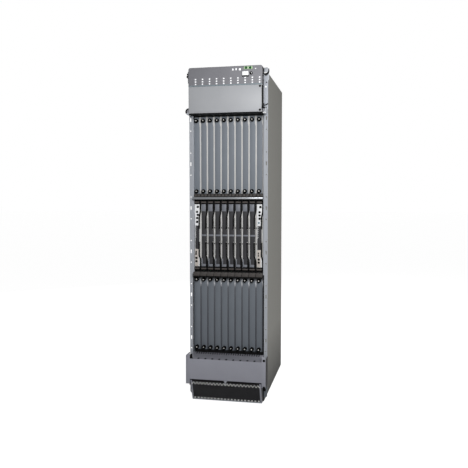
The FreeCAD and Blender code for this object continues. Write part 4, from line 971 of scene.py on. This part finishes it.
def fabric_board(number):
    """One of the eight fabric boards, without its levers."""
    node = f"fabric_board_{number}"
    low, high = (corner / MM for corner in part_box(node))
    left, plate, base = low.x - 0.3, low.y + AXLE_PROUD + CLIP_NOSE, low.z + 4.0
    bm = bmesh.new()
    block(bm, (low.x, plate, base + 0.3), (high.x, plate + PLATE_SHEET, base + BOARD_HEIGHT - 0.3), 0, 0.5)
    # Black plates at the board's ends, partly painted shade beside the lever barrels
    for start, end in ((0.4, 58.0), (BOARD_HEIGHT - 62, BOARD_HEIGHT - 0.4)):
        block(bm, (left + 0.4, plate - 0.9, base + start), (left + 42.6, plate + 0.2, base + end), 3, 0.3)
    extruded(bm, waisted(left, base), "y", plate - FACE_PROUD, plate, 1, 0.9)
    proud = plate - FACE_PROUD - 1.0
    for start, end in ((COVER_INSET, STEP_INSET), (HIGH_STEP, HIGH_END)):
        block(bm, (left + GREY_RIGHT, proud, base + start),
              (left + WIDE_RIGHT, plate - 1, base + end), 3, 0.9)
    for near, far, rise, start, end, bevel in GREY_BLOCKS:
        block(bm, (left + near, proud - rise, base + start), (left + far, plate - 1, base + end), 2, bevel)
    block(bm, (left + 34.2, plate - 0.9, base + LOW_WAIST_INSET),
          (left + 36.8, plate + 0.2, base + BOARD_HEIGHT - HIGH_WAIST_INSET), 1, 0.3)
    for level in TAB_LEVELS:
        block(bm, (left + 38.6, plate - 2.2, base + level - 4),
              (left + 42.6, plate + 0.4, base + level + 4), 3, 0.6)
    for level in (AXLE_INSET, BOARD_HEIGHT - AXLE_INSET):
        barrel_clip(bm, left, plate, base + level, 3)
    board_behind(bm, left, plate, base, number, 4, 5, 6)
    finishes = [pale_strip, dark_coat, fabric_coat, black_nylon, board_laminate, chip_epoxy, anodised]
    finished(f"{node}_face", bm, finishes, node, node)


# Ejector levers. Black nylon levers, two on each fabric board: the barrel snaps into the board's clip, and
# the bar steps sideways and ends in a ribbed thumb pad. A brown-grey band flush along the front of the barrel
# is a painted highlight.

BAR_INNER, BAR_OUTER, BAR_SHIFT, BEND_START = 33.8, 42.0, 8.0, 56.0
BEND_ENDS = {1: LOW_WAIST_INSET - AXLE_INSET, -1: HIGH_WAIST_INSET - AXLE_INSET}
LEVER_LENGTH, BAR_BACK, BAR_FRONT, GRIP_HEIGHT, GRIP_PROUD = 163.0, 6.5, -1.0, 14.0, 3.0
BARREL_LEFT, BARREL_RADIUS, HIGHLIGHT_END, HIGHLIGHT_FACING = 1.2, 7.8, 33.2, -0.8
GRIP_RIDGES = (3.2, 7.0, 10.8)
barrel_highlight = moulded_nylon("brown-grey painted highlight", "#4d4846", "#5a5552")


def bent_bar(bm, left, axle, level, way, slots):
    """A lever: barrel with a painted highlight, stepped bar and thumb pad. It runs up or down from its axle.
    """
    black, strip = slots
    ends = [(0, BARREL_LEFT), (BARREL_RADIUS - 1, BARREL_LEFT), (BARREL_RADIUS, BARREL_LEFT + 1),
            (BARREL_RADIUS, HIGHLIGHT_END), (BARREL_RADIUS, BAR_OUTER - 1), (BARREL_RADIUS - 1, BAR_OUTER),
            (0, BAR_OUTER)]
    built = len(bm.faces)
    turned(bm, (left, axle, level), "x", ends, black, 28)
    bm.faces.ensure_lookup_table()
    # Painted highlight: the barrel's front faces take the brown-grey
    for face in bm.faces[built:]:
        if face.normal.y < HIGHLIGHT_FACING and face.calc_center_median().x < left + HIGHLIGHT_END:
            face.material_index = strip
    side = [(BAR_OUTER, 0), (BAR_OUTER, BEND_START), (BAR_OUTER - BAR_SHIFT, BEND_ENDS[way]),
            (BAR_OUTER - BAR_SHIFT, LEVER_LENGTH)]
    back = [(x - BAR_OUTER + BAR_INNER, z) for x, z in reversed(side)]
    outline = [(left + x, level + z * way) for x, z in side + back]
    extruded(bm, outline, "y", axle + BAR_FRONT, axle + BAR_BACK, black, 1.6)
    tip = (LEVER_LENGTH - GRIP_HEIGHT, LEVER_LENGTH)
    span = sorted(level + end * way for end in tip)
    pad_left, pad_right = left + BAR_INNER - BAR_SHIFT, left + BAR_OUTER - BAR_SHIFT
    pad_back = axle + BAR_FRONT
    block(bm, (pad_left, pad_back - GRIP_PROUD, span[0]), (pad_right, pad_back + 1, span[1]), black, 1.4)
    for ridge in GRIP_RIDGES:
        block(bm, (pad_left + 0.8, pad_back - GRIP_PROUD - 0.6, span[0] + ridge - 0.8),
              (pad_right - 0.8, pad_back - 1, span[0] + ridge + 0.8), black, 0.4)


def lever(number, end, way):
    """One lever of a fabric board, at its low or high end, pointing up or down."""
    node = f"fabric_board_{number}_{end}_lever"
    low, high = (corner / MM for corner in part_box(node))
    level = low.z + BARREL_RADIUS if way > 0 else high.z - BARREL_RADIUS
    bm = bmesh.new()
    bent_bar(bm, low.x - BARREL_LEFT, low.y + BARREL_RADIUS, level, way, (0, 1))
    finished(f"{node}_bar", bm, [black_nylon, barrel_highlight], node, node)


FABRIC_BOARDS = 8
for number in range(1, FABRIC_BOARDS + 1):
    fabric_board(number)
    lever(number, "low", 1)
    lever(number, "high", -1)


# Control boards. One at each end of the centre cage: a white steel face with round ports and black sockets
# above and below, a dark vented middle edged by a zigzag spring, and the same levers, fixed in their clips.

# Zigzag: the tree lifts every second point of a line and draws the line as a round wire
zigzag_tree, zigzag_sizes = new_tree("zigzag", {"Points": "Int", "Step": "Vector", "Rise": "Vector",
                                                "Wire": "Float"})
line = add(zigzag_tree, "GeometryNodeMeshLine", {"Count": zigzag_sizes["Points"],
                                                 "Offset": zigzag_sizes["Step"]})
odd = add(zigzag_tree, "ShaderNodeMath", {0: add(zigzag_tree, "GeometryNodeInputIndex").outputs[0], 1: 2.0},
          operation="MODULO")
lift = add(zigzag_tree, "ShaderNodeVectorMath", {0: zigzag_sizes["Rise"], "Scale": odd.outputs[0]},
           operation="SCALE")
line = add(zigzag_tree, "GeometryNodeSetPosition", {"Geometry": line.outputs[0], "Offset": lift.outputs[0]})
line = add(zigzag_tree, "GeometryNodeMeshToCurve", {"Mesh": line.outputs[0]})
section = add(zigzag_tree, "GeometryNodeCurvePrimitiveCircle", {"Resolution": 8,
                                                                "Radius": zigzag_sizes["Wire"]})
spring = add(zigzag_tree, "GeometryNodeCurveToMesh", {"Curve": line.outputs[0],
                                                      "Profile Curve": section.outputs[0],
                                                      "Fill Caps": True})
close_tree(zigzag_tree, zigzag_sizes, spring.outputs[0])


def zigzag(points, step, rise, wire, finish):
    """A spring strip bent to and fro."""
    return grown(zigzag_tree, bpy.data.meshes.new("spring"), finish,
                 {"Points": points, "Step": step, "Rise": rise, "Wire": wire})


control_coat = powder_coat("off-white powder-coated steel", "#f3f5f7", "#fbfcfd")
sand_coat = powder_coat("sand powder-coated steel", "#c9c1ba", "#d4cdc6")
teal_lens = clear_lens("teal acrylic lens", "#1f5a6b", "#2a6a7b", 0.0)
PORT_PROFILE = [(0, 0.4), (7.2, 0.4), (7.2, -0.8), (6.2, -1.6), (4.2, -1.6), (3.8, -0.2), (0, -0.2)]
LENS_PROFILE = [(0, 0.4), (5.2, 0.4), (5.2, -1.4), (0, -2)]
VENT_LOWEST, VENT_TOP, SLAT_ROWS, SLAT_PITCH, SLAT_LOWEST = 130.0, 275.0, 18, 7.6, 138.0
SPRING_POINTS, SPRING_STEP, SPRING_RISE, SPRING_WIRE, SPRING_LOWEST = 13, 6.2, 7.0, 1.8, 199.0


def control_board(node, ports, sockets, lenses, seed):
    """A control board: its ports, sockets and lenses are places across its cell and levels over its foot."""
    low, high = (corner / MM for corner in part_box(node))
    left, base = low.x - 0.3, low.z + 4.0
    plate = low.y + AXLE_PROUD + BARREL_RADIUS
    bm = bmesh.new()
    block(bm, (low.x, plate, base + 0.3), (high.x, plate + PLATE_SHEET, base + BOARD_HEIGHT - 0.3), 0, 0.5)
    for start, end in ((0.4, 30.0), (BOARD_HEIGHT - 30, BOARD_HEIGHT - 0.4)):
        block(bm, (left + 0.4, plate - 0.9, base + start), (left + 42.6, plate + 0.2, base + end), 2, 0.3)
    extruded(bm, waisted(left, base), "y", plate - FACE_PROUD, plate, 1, 0.9)
    face = plate - FACE_PROUD
    block(bm, (left + 1, face - 0.6, base + COVER_INSET + 1),
          (left + 25, face + 0.5, base + VENT_LOWEST), 3, 0.5)
    block(bm, (left + 4, face - 1.2, base + VENT_LOWEST), (left + 31, face + 0.5, base + VENT_TOP), 4, 1.0)
    slat = bmesh.new()
    block(slat, (0, -0.8, -1.2), (21, 0.4, 1.2), 0, 0.5)
    slats = in_rows(as_mesh(slat, "slat"), dark_coat, 1, (0, 0, 0), SLAT_ROWS, (0, 0, SLAT_PITCH))
    merge(bm, slats, 4, (left + 8, face - 1.2, base + SLAT_LOWEST))
    spring = zigzag(SPRING_POINTS, (0, 0, SPRING_STEP), (SPRING_RISE, 0, 0), SPRING_WIRE, control_coat)
    merge(bm, spring, 1, (left + 2.5, face - 2.0, base + SPRING_LOWEST))
    for across, level in ports:
        turned(bm, (left + across, face - 0.6, base + level), "y", PORT_PROFILE, 2, 18)
    for across, level, width, height in sockets:
        block(bm, (left + across - width / 2, face - 2.2, base + level - height / 2),
              (left + across + width / 2, face + 0.4, base + level + height / 2), 2, 1.0)
    for across, level in lenses:
        turned(bm, (left + across, face, base + level), "y", LENS_PROFILE, 5, 18)
    for level, way in ((AXLE_INSET, 1), (BOARD_HEIGHT - AXLE_INSET, -1)):
        barrel_clip(bm, left, plate, base + level, 2)
        bent_bar(bm, left, plate - AXLE_PROUD, base + level, way, (2, 6))
    board_behind(bm, left, plate, base, seed, 7, 8, 9)
    finishes = [pale_strip, control_coat, black_nylon, sand_coat, dark_coat, teal_lens, barrel_highlight,
                board_laminate, chip_epoxy, anodised]
    finished(f"{node}_face", bm, finishes, node, node)


left_ports = [(20.5, 390), (16.0, 359), (20.3, 341), (15.8, 321), (15.7, 298), (10.8, 75), (10.8, 55)]
left_sockets = [(9, 106, 8, 26)]
control_board("left_control_board", left_ports, left_sockets, [], 21)
right_ports = [(17.4, 358), (17.5, 339), (17.5, 319), (13.2, 72), (13.2, 54)]
right_sockets = [(22.5, 390, 13, 14), (10.8, 109, 6, 12), (10.8, 95, 6, 12)]
control_board("right_control_board", right_ports, right_sockets, [(13.5, 294)], 22)


# Lower fan tray. A folded pale steel cover with a sloped top between two ears, notched along its fold, hides
# a plated deck with four more fans; two black captive screws hold its right edge.

low, _ = (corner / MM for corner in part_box("lower_fan_tray"))
lower_tray = softened("lower_fan_tray", 0.9)
cover_coat = powder_coat("blue-grey powder-coated steel", "#9b9ca6", "#a4a5af")
# A darker copy of the cover's coat for its sloped top, painted shade
slope_coat = powder_coat("shaded blue-grey powder-coated steel", "#84848c", "#8f8f98")
FOLD_LEVEL, SLOPE_LEVEL, SLOPE_BACK, LOWER_DECK = 262.5, 285.0, -374.35, 138.5
COVER_SCREW_ACROSS, COVER_SCREW_LEVELS = 234.6, (273, 111)
# Painted shade: the cover's sides take black nylon and its sloped top the darker copy
for face in lower_tray.faces:
    if face.calc_center_median().y > COVER_BACK:
        face.material_index = 1
    elif abs(face.normal.x) > 0.9:
        face.material_index = 2
    elif face.normal.z > 0.5 and face.calc_center_median().z > FOLD_LEVEL:
        face.material_index = 3
fans(lower_tray, LOWER_DECK, 2)
captive_profile = [(0, 0.3), (7.6, 0.3), (7.6, -2), (6, -3.4), (0, -3.4)]
for level in COVER_SCREW_LEVELS:
    turned(lower_tray, (COVER_SCREW_ACROSS, low.y, level), "y", captive_profile, 2, 18)
wedge = [(-219.8, 263.5), (-201.5, 263.5), (-206.5, 290.0), (-213, 294.0), (-219.8, 286.0)]
extruded(lower_tray, wedge, "y", low.y + 1, low.y + 4, 2, 0.8)
slope = math.atan2(SLOPE_LEVEL - FOLD_LEVEL, SLOPE_BACK - low.y)
notch = bmesh.new()
block(notch, (-5.5, 3.0, -0.6), (5.5, 17.0, 0.5), 0, 0.4)
tooth = bmesh.new()
block(tooth, (-2.4, 66.0, -0.6), (2.4, 84.0, 3.0), 0, 0.8)
for source, count, pitch, first in ((notch, CARDS - 1, CARD_PITCH, -168.0),
                                    (tooth, 3 * CARDS - 2, CARD_PITCH / 3, -193.5)):
    shape = as_mesh(source, "slope_piece")
    shape.transform(Matrix.Rotation(slope, 4, "X"))
    merge(lower_tray, in_rows(shape, black_nylon, count, (pitch, 0, 0)), 2, (first, low.y, FOLD_LEVEL))
lower_finishes = [cover_coat, zinc, black_nylon, slope_coat]
finished("lower_fan_tray_cover", lower_tray, lower_finishes, "lower_fan_tray",
         "lower_fan_tray")


# Intake grille. A black honeycomb screen leans back at the foot between two cheeks, with pale side strips, a
# pale lip along the floor and a row of white teeth over it. A bent white strip runs across its upper part,
# held by a clip in the middle, and a black sheet in the gap to the left flange is painted shade.

low, high = (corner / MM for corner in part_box("intake_grille"))
LEAN_BACK, GRILLE_RIM, CHEEK_SHEET = 48.0, 9.0, 3.0
MESH_PITCH, MESH_WIRE, MESH_PROUD = 9.0, 1.15, 1.6
span = math.hypot(LEAN_BACK, high.z)
tilt = Matrix.Translation((0, low.y, high.z)) @ Matrix.Rotation(math.atan2(LEAN_BACK, high.z), 4, "X")
black_wire = moulded_nylon("black epoxy-coated wire", "#37373a", "#444447", rough=0.42)
black_felt = moulded_nylon("black filter felt", "#0a0a0b", "#121213", rough=0.8)
grille = bmesh.new()
for edge in (low.x, high.x - CHEEK_SHEET):
    cheek = [(low.y + LEAN_BACK, 0), (high.y, 0), (high.y, high.z), (low.y, high.z)]
    extruded(grille, cheek, "x", edge, edge + CHEEK_SHEET, 4, 0.4)
# A black sheet in the gap to the left flange, painted shade
block(grille, (-224.0, low.y + 6, 98.0), (-222.4, high.y - 1.5, high.z + 4), 1, 0.4)
screen = honeycomb(high.x - low.x - GRILLE_RIM, span - GRILLE_RIM, MESH_PITCH, MESH_WIRE, black_wire)
screen.transform(tilt @ Matrix.Translation((0, -MESH_PROUD, -span / 2)))
merge(grille, screen, 0)
felt = bmesh.new()
block(felt, (low.x + 4, 1, 4 - span), (high.x - 4, 5, -1), 0, 1.0)
rail = bmesh.new()
for edge in (low.x, high.x - GRILLE_RIM):
    block(rail, (edge, -3.0, 1 - span), (edge + GRILLE_RIM, 1.0, -1), 0, 0.8)
lip = bmesh.new()
block(lip, (low.x, -3.4, 1 - span), (high.x, 1.0, 8 - span), 0, 0.8)
TOOTH_COUNT, TOOTH_STEP, TOOTH_WIDTH, TOOTH_LOW, TOOTH_HIGH = 20, 20.8, 9.5, 11.0, 18.0
tooth = bmesh.new()
block(tooth, (-TOOTH_WIDTH / 2, -3.9, TOOTH_LOW - span), (TOOTH_WIDTH / 2, 0, TOOTH_HIGH - span), 0, 0.6)
teeth = in_rows(as_mesh(tooth, "tooth"), white_plate, TOOTH_COUNT, (TOOTH_STEP, 0, 0))
teeth.transform(Matrix.Translation((-TOOTH_STEP * (TOOTH_COUNT - 1) / 2, 0, 0)))
for source, slot in ((as_mesh(felt, "felt"), 1), (as_mesh(rail, "rail"), 2), (as_mesh(lip, "lip"), 3),
                     (teeth, 5)):
    source.transform(tilt)
    merge(grille, source, slot)
ZIGZAG_POINTS, ZIGZAG_STEP, ZIGZAG_RISE, ZIGZAG_WIRE, ZIGZAG_LEVEL = 41, 10.4, 15.0, 2.5, 106.8
strip_start = (-ZIGZAG_STEP * (ZIGZAG_POINTS - 1) / 2,
               low.y + LEAN_BACK * (high.z - ZIGZAG_LEVEL) / high.z - 6.0, ZIGZAG_LEVEL)
spring = zigzag(ZIGZAG_POINTS, (ZIGZAG_STEP, 0, 0), (0, 0, ZIGZAG_RISE), ZIGZAG_WIRE, white_plate)
merge(grille, spring, 5, strip_start)
clip = [(-10, 136.5), (-10, 133.5), (-3, 127), (-3, 115), (3, 115), (3, 127), (11, 133.5), (11, 136.5)]
extruded(grille, clip, "y", low.y - 0.6, low.y + 1.6, 3, 0.6)
grille_finishes = [black_wire, black_felt, cover_coat, flange_coat, dark_coat, white_plate]
finished("intake_screen", grille, grille_finishes, "chassis", "intake_grille")


# Floor and light. A pale studio floor and a white world. A soft lamp in front and to the right gives most of
# the light, a second one lights the right side and a third one the back.

floor_material, floor_tree, floor_shader, _ = new_surface("pale studio floor", Roughness=0.9)
floor_shader.inputs["Base Color"].default_value = linear("#a0a0a0")
FLOOR_GLOW, FLOOR_MIRROR = 0.92, 0.4
floor_ray = add(floor_tree, "ShaderNodeLightPath").outputs
seen = add(floor_tree, "ShaderNodeMath", {0: floor_ray["Is Glossy Ray"], 1: FLOOR_MIRROR,
                                          2: floor_ray["Is Camera Ray"]}, operation="MULTIPLY_ADD")
glow = add(floor_tree, "ShaderNodeMath", {0: seen.outputs[0], 1: FLOOR_GLOW}, operation="MULTIPLY")
floor_shader.inputs["Emission Color"].default_value = linear("#ffffff")
floor_tree.links.new(glow.outputs[0], floor_shader.inputs["Emission Strength"])
FLOOR_REACH = 60.0
floor_mesh = bpy.data.meshes.new("floor")
floor_corners = [(x * FLOOR_REACH, y * FLOOR_REACH, 0) for x, y in ((-1, -1), (1, -1), (1, 1), (-1, 1))]
floor_mesh.from_pydata(floor_corners, [], [(0, 1, 2, 3)])
floor_mesh.materials.append(floor_material)
floor = bpy.data.objects.new("floor", floor_mesh)
bpy.context.scene.collection.objects.link(floor)

world = bpy.data.worlds.new("white studio")
bpy.context.scene.world = world
world.use_nodes = True
sky = world.node_tree
sky.nodes.clear()
ray = add(sky, "ShaderNodeLightPath").outputs
shown = add(sky, "ShaderNodeMath", {0: ray["Is Camera Ray"], 1: ray["Is Transmission Ray"]},
            operation="MAXIMUM")
WORLD_LIGHT, MIRROR_LIGHT = 0.1, 0.45
level = add(sky, "ShaderNodeMath", {0: ray["Is Glossy Ray"], 1: MIRROR_LIGHT - WORLD_LIGHT, 2: WORLD_LIGHT},
            operation="MULTIPLY_ADD")
level = add(sky, "ShaderNodeMath", {0: shown.outputs[0], 1: 1 - WORLD_LIGHT, 2: level.outputs[0]},
            operation="MULTIPLY_ADD")
backdrop = add(sky, "ShaderNodeBackground", {"Color": linear("#ffffff"), "Strength": level.outputs[0]})
add(sky, "ShaderNodeOutputWorld", {"Surface": backdrop.outputs[0]})


def soft_lamp(name, place, target, size, power):
    """A square soft box at a place, turned to a target."""
    lamp = bpy.data.lights.new(name, "AREA")
    lamp.size = size
    lamp.energy = power
    holder = bpy.data.objects.new(name, lamp)
    holder.location = place
    holder.rotation_euler = (Vector(target) - Vector(place)).to_track_quat("-Z", "Y").to_euler()
    holder.visible_camera = False
    bpy.context.scene.collection.objects.link(holder)


soft_lamp("key", (1.0, -2.8, 2.0), (0, -0.4, 1.6), 1.2, 59.5)
soft_lamp("side", (4.0, 0.4, 1.3), (0.2, 0.2, 1.1), 1.8, 72)
soft_lamp("back", (-2.6, 3.6, 2.0), (0, 0.3, 1.0), 1.8, 70)
bpy.context.scene.view_settings.view_transform = "Standard"

# Camera, at the place and angle of the photograph
camera = bpy.data.cameras.new("camera")
camera.lens = 46.215
camera.sensor_width = 36
eye = bpy.data.objects.new("camera", camera)
eye.location = (0.7637, -3.92865, 1.2224)
eye.rotation_euler = (math.radians(90 - 3.231), 0, math.radians(11.566))
bpy.context.scene.collection.objects.link(eye)
bpy.context.scene.camera = eye
